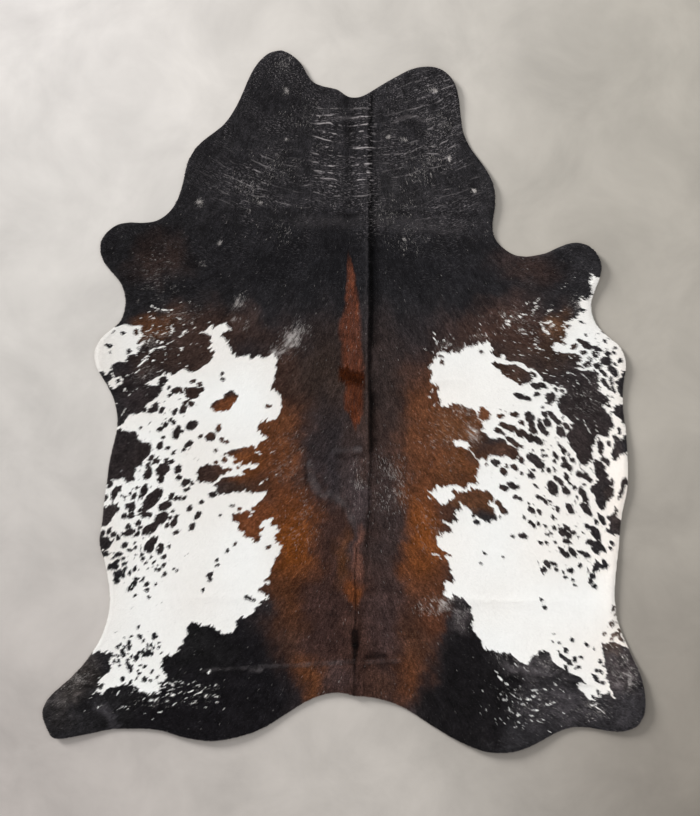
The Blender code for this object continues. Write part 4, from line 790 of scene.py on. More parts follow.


# Narrow dark lines of painted shade, where the hide's folds and creases, the spine fold most of all, fall
# into shadow.
PAINTED_SHADE_LINES = [
    # half width, how much light is left, and the places (x, y) it runs through
    (0.75, 0.3, [
        (8.4, 98.5), (8, 86), (8.1, 70), (8, 58), (8.2, 45), (8.2, 30), (7.8, 12), (8.1, 0), (8.2, -16),
    ]),
    (0.5, 0.55, [(8.2, -16), (7.6, -34), (6.8, -46)]),
    (1.5, 0.6, [(9.2, 66), (9.6, 48), (9.5, 30), (9.3, 19)]),
    (1.3, 0.5, [(9.2, 2), (9.3, -14)]),
    (1.7, 0.72, [(1.6, 98), (1.4, 88), (1.8, 78), (1.2, 64)]),
    (1.6, 0.6, [(1.2, 88), (1.6, 82.5)]),
    (1.4, 0.7, [(20.5, 88.5), (23, 87.5), (24.5, 85.5)]),
    (0.35, 0.45, [(3.5, -47), (3.1, -58), (3.4, -66), (3.2, -72)]),
    (1.5, 0.16, [(3.2, -73.6), (3.3, -78.2)]),
    (1, 0.3, [(3.3, -78), (3.1, -82)]),
    (0.6, 0.45, [(3.1, -81), (3, -93.8)]),
    (0.4, 0.75, [(6, -84), (6.2, -94)]),
    (0.6, 0.5, [(-2.2, 59.8), (2, 59.6), (5.6, 60.3)]),
    (0.6, 0.75, [(9, 61.2), (20, 60.8), (42, 59.8)]),
    (0.6, 0.55, [(-80.2, -93.5), (-78.4, -99), (-76.8, -104)]),
    (0.5, 0.6, [(-73.8, -99), (-72.6, -101.8), (-69.5, -103.2)]),
    (0.8, 0.6, [(-11.8, -18), (-12.6, -22), (-12.3, -26.5)]),
    (0.7, 0.6, [(-3, -17.2), (1, -17.8), (5, -17.2)]),
    (0.5, 0.6, [(-46, -86.9), (-23.4, -85.4), (3, -84)]),
    (0.4, 0.5, [(6.4, -84.7), (17.6, -84)]),
    (1.2, 0.3, [(7.5, -81.7), (12.4, -81.4)]),
    (0.6, 0.45, [(47, -87.6), (57, -88), (64, -88.5), (75, -90.3)]),
    (0.5, 0.6, [(85.5, -89.4), (91.5, -88.5)]),
    (1.4, 0.75, [(-10, -25), (-5, -30.5), (0, -33)]),
]
# Pale lines of painted highlight, where the hair over a fold, a crease or a neck wrinkle catches the light.
PAINTED_HIGHLIGHT_LINES = [
    # half width, strength, and the places (x, y) it runs through
    (0.35, 0.26, [(-46, -86.2), (-23.4, -84.7), (3, -83.3)]),
    (0.3, 0.16, [(6.8, -83.6), (17.6, -82.9)]),
    (0.3, 0.06, [(7, 96), (6.9, 70), (6.8, 40), (6.9, 0), (7, -30)]),
    (1.1, 0.24, [(-10.6, -21), (-10.2, -26), (-7.2, -29.2), (-3, -30.4), (1, -34.5), (2.5, -39)]),
    (0.5, 0.34, [(-11.4, -19), (-11.4, -25.5), (-9.4, -28.8), (-6, -31)]),
    (0.7, 0.32, [(-4, -16), (1, -15.6), (5, -15.4)]),
    (2.4, 0.1, [(11, 57), (24, 56.6), (36, 56)]),
    (1.8, 0.08, [(-16, 57.6), (4, 57.2)]),
    (0.35, 0.45, [(16, 89.6), (18.4, 91.1), (22, 91.3), (26.2, 89.6)]),
    (0.3, 0.4, [(-6, 90.3), (5, 91)]),
    (0.5, 0.5, [(-30.5, -86), (-26.5, -86.2)]),
    (0.4, 0.35, [(-13, -84.2), (-9.6, -84)]),
]


def near_line(x, y, places, half):
    """1 on the line through the places, falling to 0 at its half width and a little more."""
    share = np.zeros(x.shape)
    for (ax, ay), (bx, by) in zip(places, places[1:]):
        reach = 2 * half
        in_x = (x > min(ax, bx) - reach) & (x < max(ax, bx) + reach)
        in_y = (y > min(ay, by) - reach) & (y < max(ay, by) + reach)
        near = np.nonzero(in_x & in_y)[0]
        u, v = bx - ax, by - ay
        t = np.clip(((x[near] - ax) * u + (y[near] - ay) * v) / (u * u + v * v), 0, 1)
        far = np.hypot(x[near] - ax - t * u, y[near] - ay - t * v) / half
        share[near] = np.maximum(share[near], 1 - step(far, 0.35, 1.5))
    return share


# The grey of the painted highlight lines.
HIGHLIGHT_LINE_GREY = (122, 116, 118)


def with_painted_lines(x, y, colour, white):
    """The colour with the lines of painted shade and painted highlight drawn in."""
    wx, wy = drifted(x, x, y, (0.25, 2, 31)), drifted(y, x, y, (0.25, 2, 32))
    keep = np.ones(len(x))
    for half, left, places in PAINTED_SHADE_LINES:
        keep *= 1 - (1 - left) * near_line(wx, wy, places, half)
    pale = np.zeros(len(x))
    for half, strength, places in PAINTED_HIGHLIGHT_LINES:
        pale = np.maximum(pale, strength * near_line(wx, wy, places, half))
    pale = pale * (0.4 + 0.6 * step(noise(x / 1.7, y / 1.7, 33), -0.4, 0.4)) * ~white
    return towards(colour * np.where(white, 1, keep)[:, None], linear(HIGHLIGHT_LINE_GREY), pale)


# Where the neck's wrinkles crowd, beside the rows at its middle: x, y, half width, half height.
NECK_CLUMPS = [(-25, 71, 15, 9), (28, 78, 15, 14), (28, 99, 9, 6)]
LOBE_CLUMP = (-19, 107, 7, 6)  # fine ticks alone
WHORL = (21, 87, 4.6, 3.6)  # a smooth round place without wrinkles


def neck_highlight_strength(x, y):
    """(fine ticks, bold wrinkles) of the neck, from 0 to 1: how strong the painted highlight is where the
    hair turned up on the wrinkles catches the light.
    """
    patchy = 0.45 + 0.7 * noise(x / 8, y / 8, 51) + 0.7 * noise(x / 3.2, y / 1.8, 52)
    neck = step(y, 42, 64) * (1 - 0.3 * step(y, 96, 108)) * (1 - 0.7 * step(np.abs(x - 2), 36, 52))
    whorl = bell(x, y, *WHORL, power=4)
    clumps = sum(bell(x, y, *clump) for clump in NECK_CLUMPS)
    crowded = np.clip(clumps + bell(x, y, *LOBE_CLUMP), 0, 1)
    fine = np.clip(neck * patchy * (0.8 + 0.75 * crowded), 0, 1) * (1 - 0.85 * whorl)
    fine = np.maximum(fine, 0.25 * step(y, 24, 44) * np.clip(patchy, 0, 1))
    rows = (ridge(x, -5.8, 4.4, 4) + ridge(x, 5.6, 3.8, 4)) * (step(y, 63, 69) * (1 - step(y, 91, 96)))
    gap = 1 - 0.9 * ridge(x, 0.6, 1.5, 2)
    bold = np.maximum(rows * gap, 0.55 * clumps * np.clip(0.4 + patchy, 0, 1.2))
    return fine, np.clip(bold * (1 - whorl), 0, 1)


WRINKLE_CENTRE = (3.0, 160.0)  # the wrinkles lie in arcs about this place, past the neck
WRINKLE_REACH = 85.0  # how far the neck lies from it


def wrinkle_place(x, y):
    """Coordinates round the neck: along a wrinkle and from one wrinkle to the next, in centimetres."""
    u, v = x - WRINKLE_CENTRE[0], WRINKLE_CENTRE[1] - y
    return np.arctan2(u, v) * WRINKLE_REACH, drifted(np.hypot(u, v), x, y, (0.7, 5, 61))


# Where the dark coat is blotched lighter and darker.
MOTTLED = [
    # x, y, half width, half height, tilt, strength
    (-88, -92, 9, 13, -45, 1), (60, -85, 15, 6, -8, 0.7), (70, -97, 13, 8, -8, 0.5),
    (89, -86, 8, 12, 0, 0.8), (38, -69, 5, 7, 0, 0.6), (-60, 40, 18, 10, 0, 0.35), (5, -75, 24, 20, 0, 0.3),
    (-70, 5, 8, 10, 0, 0.5), (-40, -90, 30, 18, 0, 0.35), (45, -98, 26, 14, 0, 0.4),
]


def mottling(x, y):
    """How much darker or lighter, as a power of e, the blotches make the dark coat."""
    strength = np.zeros(x.shape)
    for *oval, most in MOTTLED:
        strength = np.maximum(strength, most * (1 - step(far_from(x, y, *oval), 0.5, 1.3)))
    return strength * (0.55 * noise(x / 3.4, y / 2.6, 81) + 0.5 * noise(x / 1.4, y / 1.2, 82))


DARK_SPECK, WHITE_SPECK = 0.75, 0.42  # how wide a stray speck is
# Where the spots of one colour break up into small ones.
SPECKLED = [
    # x, y, half width, half height, tilt of the specks, how many, dark or not
    (-66, -36, 12, 24, 55, 0.2, True), (-60, -6, 11, 14, 50, 0.1, True), (-66, -82, 9, 9, 85, 0.12, True),
    (74, -22, 13, 28, -60, 0.22, True), (58, -12, 12, 10, -40, 0.16, True),
    (83, 10, 6, 16, -60, 0.28, True), (74, -50, 11, 9, -60, 0.1, True), (87, -72, 4, 8, -60, 0.25, True),
    (-64, 14, 11, 12, 40, 0.1, False), (-55, 24, 13, 6, 30, 0.1, False),
    (-67, -41, 10, 15, 55, 0.05, False), (62, 26, 11, 6, 40, 0.06, False),
    (74, 8, 12, 10, -60, 0.03, False), (60, 12, 12, 8, -35, 0.05, False),
    (-56, -92.5, 12, 4.5, 20, 0.12, False), (58, -96, 12, 7, -12, 0.04, False),
    (88, -80, 6, 9, 80, 0.1, False), (79, 33, 4, 8, 70, 0.15, False), (30, 18, 5, 4, 80, 0.05, False),
    (-73, -96, 9, 6, 20, 0.05, False),
]


def specks(x, y, dark):
    """Which places small stray spots cover: dark ones on the white, or white ones on the dark."""
    found = np.zeros(x.shape, bool)
    size = DARK_SPECK if dark else WHITE_SPECK
    for number, (cx, cy, wide, high, tilt, many, kind) in enumerate(SPECKLED):
        if kind != dark:
            continue
        near = close_to(x, y, cx, cy, 1.3 * wide, 1.3 * high)
        u, v = x[near], y[near]
        share = many * (1 - step(far_from(u, v, cx, cy, wide, high, 0), 0.4, 1.25))
        turned = np.radians(tilt)
        u, v = u * np.cos(turned) + v * np.sin(turned), v * np.cos(turned) - u * np.sin(turned)
        value = 0.75 * noise(u / (1.5 * size), v / size, 200 + number)
        value += 0.35 * noise(u / 0.5, v / 0.32, 230 + number)
        found[near] |= value > 0.86 - 1.25 * share
    return found


# ------------------------------------------------------------------ the whole coat
WHITE = (252, 252, 250)
WHITE_RIGHT = (241, 241, 239)  # the hair that lies away from the light looks brighter, so it starts darker
CREAM = (240, 232, 224)


def white_coat(x, y):
    """The colour of the white hair, creamier towards the sides."""
    colour = towards(linear(WHITE), linear(WHITE_RIGHT), step(x, -20, 40))
    creamy = drifted(0.25, x, y, (0.25, 16, 13)) + 0.6 * step(x, 76, 92) + 0.15 * step(-x, 66, 80)
    return towards(colour, linear(CREAM), np.clip(creamy, 0, 1))


def coat(x, y):
    """(colour, which are white) of the hair that shows at each place.

    The charts are read a little way along the hair, by more or less in each streak, so that their edges come
    out as tufts. The patches are read furthest along, at (px, py), and the spots less far, at (sx, sy).
    """
    dx, dy = hair_run(x, y)
    drawn = streaks(x, y, dx, dy, 0.45, 7)
    broad = streaks(x, y, dx, dy, 0.9, 8)
    thin = streaks(x, y, dx, dy, 0.22, 6)
    ragged = 0.6 * drawn + 0.3 * broad + 0.25 * thin
    px = drifted(x + dx * ragged, x, y, (0.3, 1.3, 9))
    py = drifted(y + dy * ragged, x, y, (0.3, 1.3, 10))
    sx = drifted(x + dx * 0.34 * drawn, x, y, (0.17, 0.7, 11))
    sy = drifted(y + dy * 0.34 * drawn, x, y, (0.17, 0.7, 12))
    white = in_patches(px, py, WHITE_PATCHES)
    white &= ~in_patches(sx + 0.5 * (px - x), sy + 0.5 * (py - y), DARK_PATCHES)
    for side, ovals in SPOTS.items():
        white &= ~in_ovals(sx, sy, ovals, SPOT_TILTS.get(side, LEG_SPOT_TILT), SPOT_GROWTH)
    white &= ~specks(sx, sy, True)
    for ovals in FLECKS.values():
        white |= in_ovals(sx, sy, ovals, 0.0, FLECK_GROWTH)
    white |= specks(px, py, False)
    mottle = drifted(0, x, y, (0.18, 5, 71), (0.2, 1.6, 72), (0.28, 0.55, 73))
    mottle = mottle + 0.15 * drawn + 0.1 * broad + mottling(x, y)
    dark = dark_coat(x + 0.8 * (px - x), y + 0.8 * (py - y)) * np.exp(mottle)[:, None]
    return np.where(white[:, None], white_coat(x, y), dark), white


# ------------------------------------------------------------------ the cut edge and the lie of the sheet
WELD = 0.02 * MM
UPWARD = 0.35  # the least upward share of the normal on the top of the sheet
POINTS_A_SPAN = 12
FIELD_MARGIN = 16 * MM
UNDER_THE_EDGE = 2.6 * MM  # how far the underside is below the cut edge


def packed_solid(node):
    """(points, triangles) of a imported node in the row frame, with points that coincide made one."""
    mesh = node.data
    points = np.empty(len(mesh.vertices) * 3, np.float32)
    mesh.vertices.foreach_get("co", points)
    world = np.array(node.matrix_world)
    points = points.reshape(-1, 3) @ world[:3, :3].T + world[:3, 3]
    mesh.calc_loop_triangles()
    faces = np.empty(len(mesh.loop_triangles) * 3, np.int32)
    mesh.loop_triangles.foreach_get("vertices", faces)
    _, first, index = np.unique(np.round(points / WELD), axis=0, return_index=True, return_inverse=True)
    return points[first], index.reshape(-1)[faces.reshape(-1, 3)]


def rim_of(points, faces):
    """The cut edge along the top of the sheet, as one loop of points."""
    corners = points[faces]
    across = np.cross(corners[:, 1] - corners[:, 0], corners[:, 2] - corners[:, 0])
    upward = faces[across[:, 2] > UPWARD * np.linalg.norm(across, axis=1)]
    ends = np.concatenate([upward[:, [0, 1]], upward[:, [1, 2]], upward[:, [2, 0]]])
    pairs = {tuple(pair) for pair in ends.tolist()}
    after = {a: b for a, b in pairs if (b, a) not in pairs}
    loops, left = [], set(after)
    while left:
        start = place = left.pop()
        loop = [start]
        while (place := after[place]) != start and place in left:
            left.discard(place)
            loop.append(place)
        loops.append(loop)
    return points[max(loops, key=len)]


def smooth_loop(loop, spacing):
    """The loop redrawn as a smooth curve through its points, at an even spacing."""
    before, after, second = (np.roll(loop, places, axis=0) for places in (1, -1, -2))
    slope, bend = after - before, 2 * before - 5 * loop + 4 * after - second
    twist = 3 * loop - before - 3 * after + second
    fine = []
    for t in np.arange(POINTS_A_SPAN) / POINTS_A_SPAN:
        fine.append(0.5 * (2 * loop + slope * t + bend * t**2 + twist * t**3))
    fine = np.stack(fine, axis=1).reshape(-1, 3)
    length = np.linalg.norm(np.roll(fine, -1, axis=0) - fine, axis=1)
    along = np.concatenate([[0], np.cumsum(length)])
    closed = np.vstack([fine, fine[:1]])
    places = np.linspace(0, along[-1], round(along[-1] / spacing), endpoint=False)
    return np.stack([np.interp(places, along, closed[:, axis]) for axis in range(3)], axis=1)


def area_of(loop):
    """The area inside the loop, which is positive where it runs anticlockwise."""
    x, y = loop[:, 0], loop[:, 1]
    return np.sum(x * np.roll(y, -1) - np.roll(x, -1) * y) / 2


def row_inside(xs, y, loop):
    """Which of the places (xs, y) lie inside the loop."""
    ax, ay = loop[:, 0], loop[:, 1]
    bx, by = np.roll(ax, -1), np.roll(ay, -1)
    met = (ay > y) != (by > y)
    crossings = np.sort(ax[met] + (bx[met] - ax[met]) * (y - ay[met]) / (by[met] - ay[met]))
    return np.searchsorted(crossings, xs) % 2 == 1


class Field:
    """A height or distance on an even grid of places, read between them by straight lines."""

    def __init__(self, west, south, spacing, values):
        self.west, self.south, self.spacing, self.values = west, south, spacing, values

    def at(self, x, y):
        """The value at each place."""
        u = np.clip((x - self.west) / self.spacing, 0, self.values.shape[1] - 1.001)
        v = np.clip((y - self.south) / self.spacing, 0, self.values.shape[0] - 1.001)
        i, j = u.astype(int), v.astype(int)
        u, v = u - i, v - j
        grid = self.values
        low = grid[j, i] * (1 - u) + grid[j, i + 1] * u
        high = grid[j + 1, i] * (1 - u) + grid[j + 1, i + 1] * u
        return low * (1 - v) + high * v


def fields_of(points, faces, rim):
    """(height of the top, height of the underside, distance in from the cut edge) over the whole sheet."""
    tree = BVHTree.FromPolygons(points.tolist(), faces.tolist())
    edge = KDTree(len(rim))
    for index, place in enumerate(rim):
        edge.insert((place[0], place[1], 0.0), index)
    edge.balance()
    west, south = rim[:, :2].min(axis=0) - FIELD_MARGIN
    east, north = rim[:, :2].max(axis=0) + FIELD_MARGIN
    xs, ys = np.arange(west, east, FIELD_STEP), np.arange(south, north, FIELD_STEP)
    top, under, distance = (np.zeros((len(ys), len(xs))) for _ in range(3))
    down, up = Vector((0, 0, -1)), Vector((0, 0, 1))
    for j, y in enumerate(ys):
        within = row_inside(xs, y, rim)
        for i, x in enumerate(xs):
            _, nearest, far = edge.find((x, y, 0.0))
            distance[j, i] = far if within[i] else -far
            hit, hit_under = None, None
            if distance[j, i] > -1 * MM:
                hit = tree.ray_cast((x, y, 1.0), down)[0]
                hit_under = tree.ray_cast((x, y, -1.0), up)[0]
            height = rim[nearest, 2]
            top[j, i] = hit.z if hit else height
            under[j, i] = hit_under.z if hit_under else height - UNDER_THE_EDGE
    return tuple(Field(west, south, FIELD_STEP, values) for values in (top, under, distance))


# ------------------------------------------------------------------ building meshes
MAP_SIZE = 1.05 * max(FLAT_SIZE)
LEAST_BAND = 0.7  # how far from the rim the net of cells stays, in cells


def planar_uv(mesh, points, loops):
    """A map laid from above over the whole rug, so that every piece shares it."""
    layer = mesh.uv_layers.new(name="OFBake")
    layer.data.foreach_set("uv", (points[loops][:, :2] / MAP_SIZE + 0.5).astype(np.float32).ravel())


def mesh_object(name, points, faces, materials=(), material_index=None, smooth=False, normals=None, **values):
    """An object of triangles. values are named numbers, vectors or colours for every point."""
    mesh = bpy.data.meshes.new(name)
    mesh.vertices.add(len(points))
    mesh.vertices.foreach_set("co", points.astype(np.float32).ravel())
    mesh.loops.add(faces.size)
    mesh.loops.foreach_set("vertex_index", faces.astype(np.int32).ravel())
    mesh.polygons.add(len(faces))
    mesh.polygons.foreach_set("loop_start", np.arange(0, faces.size, 3, dtype=np.int32))
    mesh.polygons.foreach_set("loop_total", np.full(len(faces), 3, np.int32))
    mesh.polygons.foreach_set("use_smooth", np.full(len(faces), smooth, bool))
    for material in materials:
        mesh.materials.append(material)
    if material_index is not None:
        mesh.polygons.foreach_set("material_index", material_index.astype(np.int32))
    mesh.update(calc_edges=True)
    planar_uv(mesh, points, faces.ravel())
    if normals is not None:
        values["custom_normal"] = normals
    for kind, table in values.items():
        form, entry = ("FLOAT_COLOR", "color") if table.shape[1] == 4 else ("FLOAT_VECTOR", "vector")
        layer = mesh.attributes.new(kind, form, "POINT")
        layer.data.foreach_set(entry, table.astype(np.float32).ravel())
    made = bpy.data.objects.new(name, mesh)
    bpy.context.scene.collection.objects.link(made)
    return made


def fitted_band(rim, places, cells):
    """Triangles from the rim to the outer sides of the cells, and others in the cells or past the rim."""
    a, b, c, d = cells
    sides = np.concatenate([np.column_stack(pair) for pair in ((a, b), (b, c), (c, d), (d, a))])
    keyed, count = np.unique(np.sort(sides, axis=1), axis=0, return_counts=True)
    border = keyed[count == 1]
    ring = np.column_stack([np.arange(len(rim)), np.roll(np.arange(len(rim)), -1)])
    band_points = np.unique(np.concatenate([ring.ravel(), border.ravel()]))
    renumbered = {old: new for new, old in enumerate(band_points.tolist())}
    edges = [(renumbered[p], renumbered[q]) for p, q in np.concatenate([ring, border]).tolist()]
    _, _, found, origins, _, _ = delaunay_2d_cdt([Vector(places[p]) for p in band_points], edges, [], 0, 1e-7)
    known = [face for face in found if all(origins[p] for p in face)]
    return np.array([[band_points[origins[p][0]] for p in face] for face in known])


def sheet_triangles(rim, inset):
    """(places, triangles) over the inside of the rim: an even net of cells, and a fitted band round it.

    The rim's own points come first, in order.
    """
    (west, south), (east, north) = rim[:, :2].min(axis=0), rim[:, :2].max(axis=0)
    xs = np.arange(west - SKIN_STEP, east + SKIN_STEP, SKIN_STEP)
    ys = np.arange(south - SKIN_STEP, north + SKIN_STEP, SKIN_STEP)
    gx, gy = np.meshgrid(xs, ys)
    kept = inset.at(gx, gy) > LEAST_BAND * SKIN_STEP
    full = kept[:-1, :-1] & kept[1:, :-1] & kept[:-1, 1:] & kept[1:, 1:]
    used = np.zeros_like(kept)
    for dj in (0, 1):
        for di in (0, 1):
            used[dj:dj + full.shape[0], di:di + full.shape[1]] |= full
    number = np.full(kept.shape, -1)
    number[used] = len(rim) + np.arange(used.sum())
    places = np.vstack([rim[:, :2], np.column_stack([gx[used], gy[used]])])

    # Two triangles for each cell, with the diagonal one way and the other by turns.
    j, i = np.nonzero(full)
    a, b, c, d = number[j, i], number[j, i + 1], number[j + 1, i + 1], number[j + 1, i]
    turned = ((i + j) % 2 == 0)[:, None]
    first = np.where(turned, np.column_stack([a, b, c]), np.column_stack([a, b, d]))
    second = np.where(turned, np.column_stack([a, c, d]), np.column_stack([b, c, d]))

    # Of the band, only what lies inside the rim and in no cell, with its upper side up.
    band = fitted_band(rim, places, (a, b, c, d))
    centre = places[band].mean(axis=1)
    ci = np.floor((centre[:, 0] - xs[0]) / SKIN_STEP).astype(int)
    cj = np.floor((centre[:, 1] - ys[0]) / SKIN_STEP).astype(int)
    in_cell = full[np.clip(cj, 0, full.shape[0] - 1), np.clip(ci, 0, full.shape[1] - 1)]
    within = np.array([row_inside(x, y, rim) for x, y in centre])
    band = band[within & ~in_cell]
    u, v = places[band[:, 1]] - places[band[:, 0]], places[band[:, 2]] - places[band[:, 0]]
    flipped = u[:, 0] * v[:, 1] - u[:, 1] * v[:, 0] < 0
    band[flipped] = band[flipped][:, ::-1]
    return places, np.vstack([first, second, band])


# ------------------------------------------------------------------ materials
BUMP = 0.4 * MM
DARK_GRAIN = (0.62, 1.5)  # the darkest and the lightest grain in dark hair
# Painted highlights on the neck: the greys of the ticks, the wrinkles and the folds where the turned-up hair
# catches the light.
TICK_HIGHLIGHT = (0.25, 0.228, 0.238, 1)
WRINKLE_HIGHLIGHT = (0.27, 0.248, 0.256, 1)
NECK_FOLD_HIGHLIGHT = (0.38, 0.35, 0.355, 1)
ROAN_TONE = (0.56, 0.52, 0.50, 1)
SUEDE_TONES = ((0.42, 0.40, 0.39, 1), (0.60, 0.56, 0.52, 1))
FIBRE_TONES = ((0.16, 0.14, 0.13, 1), (0.36, 0.33, 0.30, 1))


def principled(name, roughness, specular):
    """(material, its node tree, its shader) with this even finish."""
    material = bpy.data.materials.new(name)
    material.use_nodes = True
    tree = material.node_tree
    tree.nodes.clear()
    shader = tree.nodes.new("ShaderNodeBsdfPrincipled")
    output = tree.nodes.new("ShaderNodeOutputMaterial")
    tree.links.new(shader.outputs["BSDF"], output.inputs["Surface"])
    shader.inputs["Roughness"].default_value = roughness
    shader.inputs["Specular IOR Level"].default_value = specular
    return material, tree, shader


def fed(tree, socket, value):
    """Puts an output or a plain value on a socket."""
    if isinstance(value, bpy.types.NodeSocket):
        tree.links.new(value, socket)
    else:
        socket.default_value = value


def attribute(tree, name):
    """The node that reads this named value from the mesh."""
    node = tree.nodes.new("ShaderNodeAttribute")
    node.attribute_name = name
    return node


def object_place(tree):
    """The output that gives the place on the object."""
    return tree.nodes.new("ShaderNodeTexCoord").outputs["Object"]


def maths(tree, operation, *values, clamp=False):
    """The result of one sum; the values are outputs or plain numbers."""
    node = tree.nodes.new("ShaderNodeMath")
    node.operation, node.use_clamp = operation, clamp
    for socket, value in zip(node.inputs, values):
        fed(tree, socket, value)
    return node.outputs[0]


def texture(tree, kind, coordinates, **settings):
    """A texture node on these coordinates, with its inputs set by name."""
    node = tree.nodes.new(kind)
    tree.links.new(coordinates, node.inputs["Vector"])
    for name, value in settings.items():
        node.inputs[name.replace("_", " ")].default_value = value
    return node


def clouds(tree, coordinates, **settings):
    """The brightness of a noise texture on these coordinates."""
    return texture(tree, "ShaderNodeTexNoise", coordinates, **settings).outputs["Fac"]


def mapped(tree, coordinates, scale, shift=(0, 0, 0)):
    """The coordinates stretched and moved."""
    node = tree.nodes.new("ShaderNodeMapping")
    for name, value in (("Vector", coordinates), ("Scale", scale), ("Location", shift)):
        fed(tree, node.inputs[name], value)
    return node.outputs["Vector"]


def mixed(tree, share, first, second, blend="MIX"):
    """A colour mix; share, first and second are outputs or plain values."""
    node = tree.nodes.new("ShaderNodeMix")
    node.data_type, node.blend_type = "RGBA", blend
    for name, value in (("Factor_Float", share), ("A_Color", first), ("B_Color", second)):
        fed(tree, next(s for s in node.inputs if s.identifier == name), value)
    return next(s for s in node.outputs if s.identifier == "Result_Color")


def ranged(tree, value, low, high, new_low, new_high):
    """The value from low to high drawn out from new_low to new_high, and held there beyond."""
    node = tree.nodes.new("ShaderNodeMapRange")
    names = ("Value", "From Min", "From Max", "To Min", "To Max")
    for name, number in zip(names, (value, low, high, new_low, new_high)):
        fed(tree, node.inputs[name], number)
    return node.outputs["Result"]


def grey(tree, value):
    """A brightness as a colour."""
    node = tree.nodes.new("ShaderNodeCombineColor")
    for channel in ("Red", "Green", "Blue"):
        tree.links.new(value, node.inputs[channel])
    return node.outputs["Color"]


def bumped(tree, shader, height, distance, strength):
    """Relief on the shader, from the height's output."""
    bump = tree.nodes.new("ShaderNodeBump")
    for name, value in (("Distance", distance), ("Strength", strength), ("Height", height)):
        fed(tree, bump.inputs[name], value)
    tree.links.new(bump.outputs["Normal"], shader.inputs["Normal"])


def coat_nodes(tree, shader, hairs, depth):
    """The charted colour with fine work on it: grain, pale hairs in the dark coat and painted highlights on
    the neck's wrinkles.

    hairs is a texture coordinate in which one hair is about one unit wide, and depth darkens the whole.
    """
    charted, lie, marks = (attribute(tree, name) for name in ("coat", "lie", "marks"))
    dark, lie = charted.outputs["Alpha"], lie.outputs["Vector"]
    parts = tree.nodes.new("ShaderNodeSeparateXYZ")
    tree.links.new(marks.outputs["Vector"], parts.inputs[0])
    roan, ticks, wrinkles = parts.outputs
    fine = clouds(tree, hairs, Scale=1.0, Detail=1.0)
    hairline = ranged(tree, fine, 0.25, 0.75, depth * 0.84, depth * 1.12)
    colour = mixed(tree, 1.0, charted.outputs["Color"], grey(tree, hairline), "MULTIPLY")
    grain = ranged(tree, clouds(tree, lie, Scale=3.4, Detail=3.0, Roughness=0.7), 0.33, 0.67, *DARK_GRAIN)
    colour = mixed(tree, dark, colour, mixed(tree, 1.0, colour, grey(tree, grain), "MULTIPLY"))

    def stretched(along, across, seed):
        """Noise drawn out along the wrinkles."""
        place = mapped(tree, lie, (along, across, 1), (seed, 0, 0))
        return clouds(tree, place, Scale=1.0, Detail=2.0, Roughness=0.6)

    def lightened(colour, pattern, strength, low, high, most, tone):
        """The colour with the tone where the pattern is above low, in full above high."""
        shown = maths(tree, "MULTIPLY", ranged(tree, pattern, low, high, 0, most), strength, clamp=True)
        return mixed(tree, shown, colour, tone)

    # Painted highlights: the neck's ticks, wrinkles and folds drawn lighter where the turned-up hair catches
    # the light.
    colour = lightened(colour, stretched(1.0, 3.6, 0), ticks, 0.56, 0.70, 1.0, TICK_HIGHLIGHT)
    colour = lightened(colour, stretched(0.32, 2.4, 7), wrinkles, 0.60, 0.68, 0.9, WRINKLE_HIGHLIGHT)
    rings = texture(tree, "ShaderNodeTexWave", lie, Scale=0.125, Distortion=2.2, Detail=2.0, Detail_Scale=0.8)
    rings.bands_direction = "Y"
    broken = maths(tree, "MULTIPLY", ranged(tree, stretched(0.33, 0.7, 23), 0.48, 0.57, 0, 1), wrinkles)
    colour = lightened(colour, rings.outputs["Fac"], broken, 0.89, 0.985, 1.0, NECK_FOLD_HIGHLIGHT)
    haze = ranged(tree, maths(tree, "MULTIPLY_ADD", roan, 0.33, fine), 0.74, 0.82, 0, 0.8)
    colour = mixed(tree, maths(tree, "MULTIPLY", haze, dark), colour, ROAN_TONE)
    tree.links.new(colour, shader.inputs["Base Color"])
    return fine


def hair_material():
    """Short hair that lies flat, with finer hairs drawn along each lock."""
    material, tree, shader = principled("short_hair", 0.55, 0.04)
    height = coat_nodes(tree, shader, attribute(tree, "strand").outputs["Vector"], 1.0)
    bumped(tree, shader, height, BUMP, 0.25)
    return material


def skin_material():
    """The skin between the roots of the hair."""
    material, tree, shader = principled("skin_under_hair", 0.7, 0.04)
    height = coat_nodes(tree, shader, mapped(tree, object_place(tree), (1400, 500, 500)), 0.85)
    bumped(tree, shader, height, BUMP, 0.4)
    return material


def suede_material():
    """The flesh side, sueded, with a short nap and a cloudy colour."""
    material, tree, shader = principled("suede_underside", 0.92, 0.15)
    place = object_place(tree)
    cloudy = ranged(tree, clouds(tree, place, Scale=5.0, Detail=5.0, Roughness=0.6), 0.32, 0.68, 0, 1)
    nap = clouds(tree, place, Scale=1300.0, Detail=2.0)
    shade = grey(tree, ranged(tree, nap, 0.3, 0.7, 0.82, 1.05))
    tone = mixed(tree, 1.0, mixed(tree, cloudy, *SUEDE_TONES), shade, "MULTIPLY")
    tree.links.new(tone, shader.inputs["Base Color"])
    bumped(tree, shader, nap, BUMP, 0.6)
    shader.inputs["Sheen Weight"].default_value = 0.15
    return material


def cut_edge_material():
    """The cut through the skin: pale tanned fibres."""
    material, tree, shader = principled("cut_leather_edge", 0.85, 0.2)
    fibres = clouds(tree, object_place(tree), Scale=1500.0, Detail=3.0)
    tone = mixed(tree, ranged(tree, fibres, 0.3, 0.7, 0, 1), *FIBRE_TONES)
    tree.links.new(tone, shader.inputs["Base Color"])
    bumped(tree, shader, fibres, 0.75 * BUMP, 0.5)
    return material


# ------------------------------------------------------------------ the rug
def on_chart(x, y):
    """Places of the row frame, in metres, as chart places in centimetres."""
    return x / CM - CHART_TO_ROW_CM, y / CM


def unit(vectors):
    """The vectors at length 1."""
    return vectors / np.linalg.norm(vectors, axis=1)[:, None]


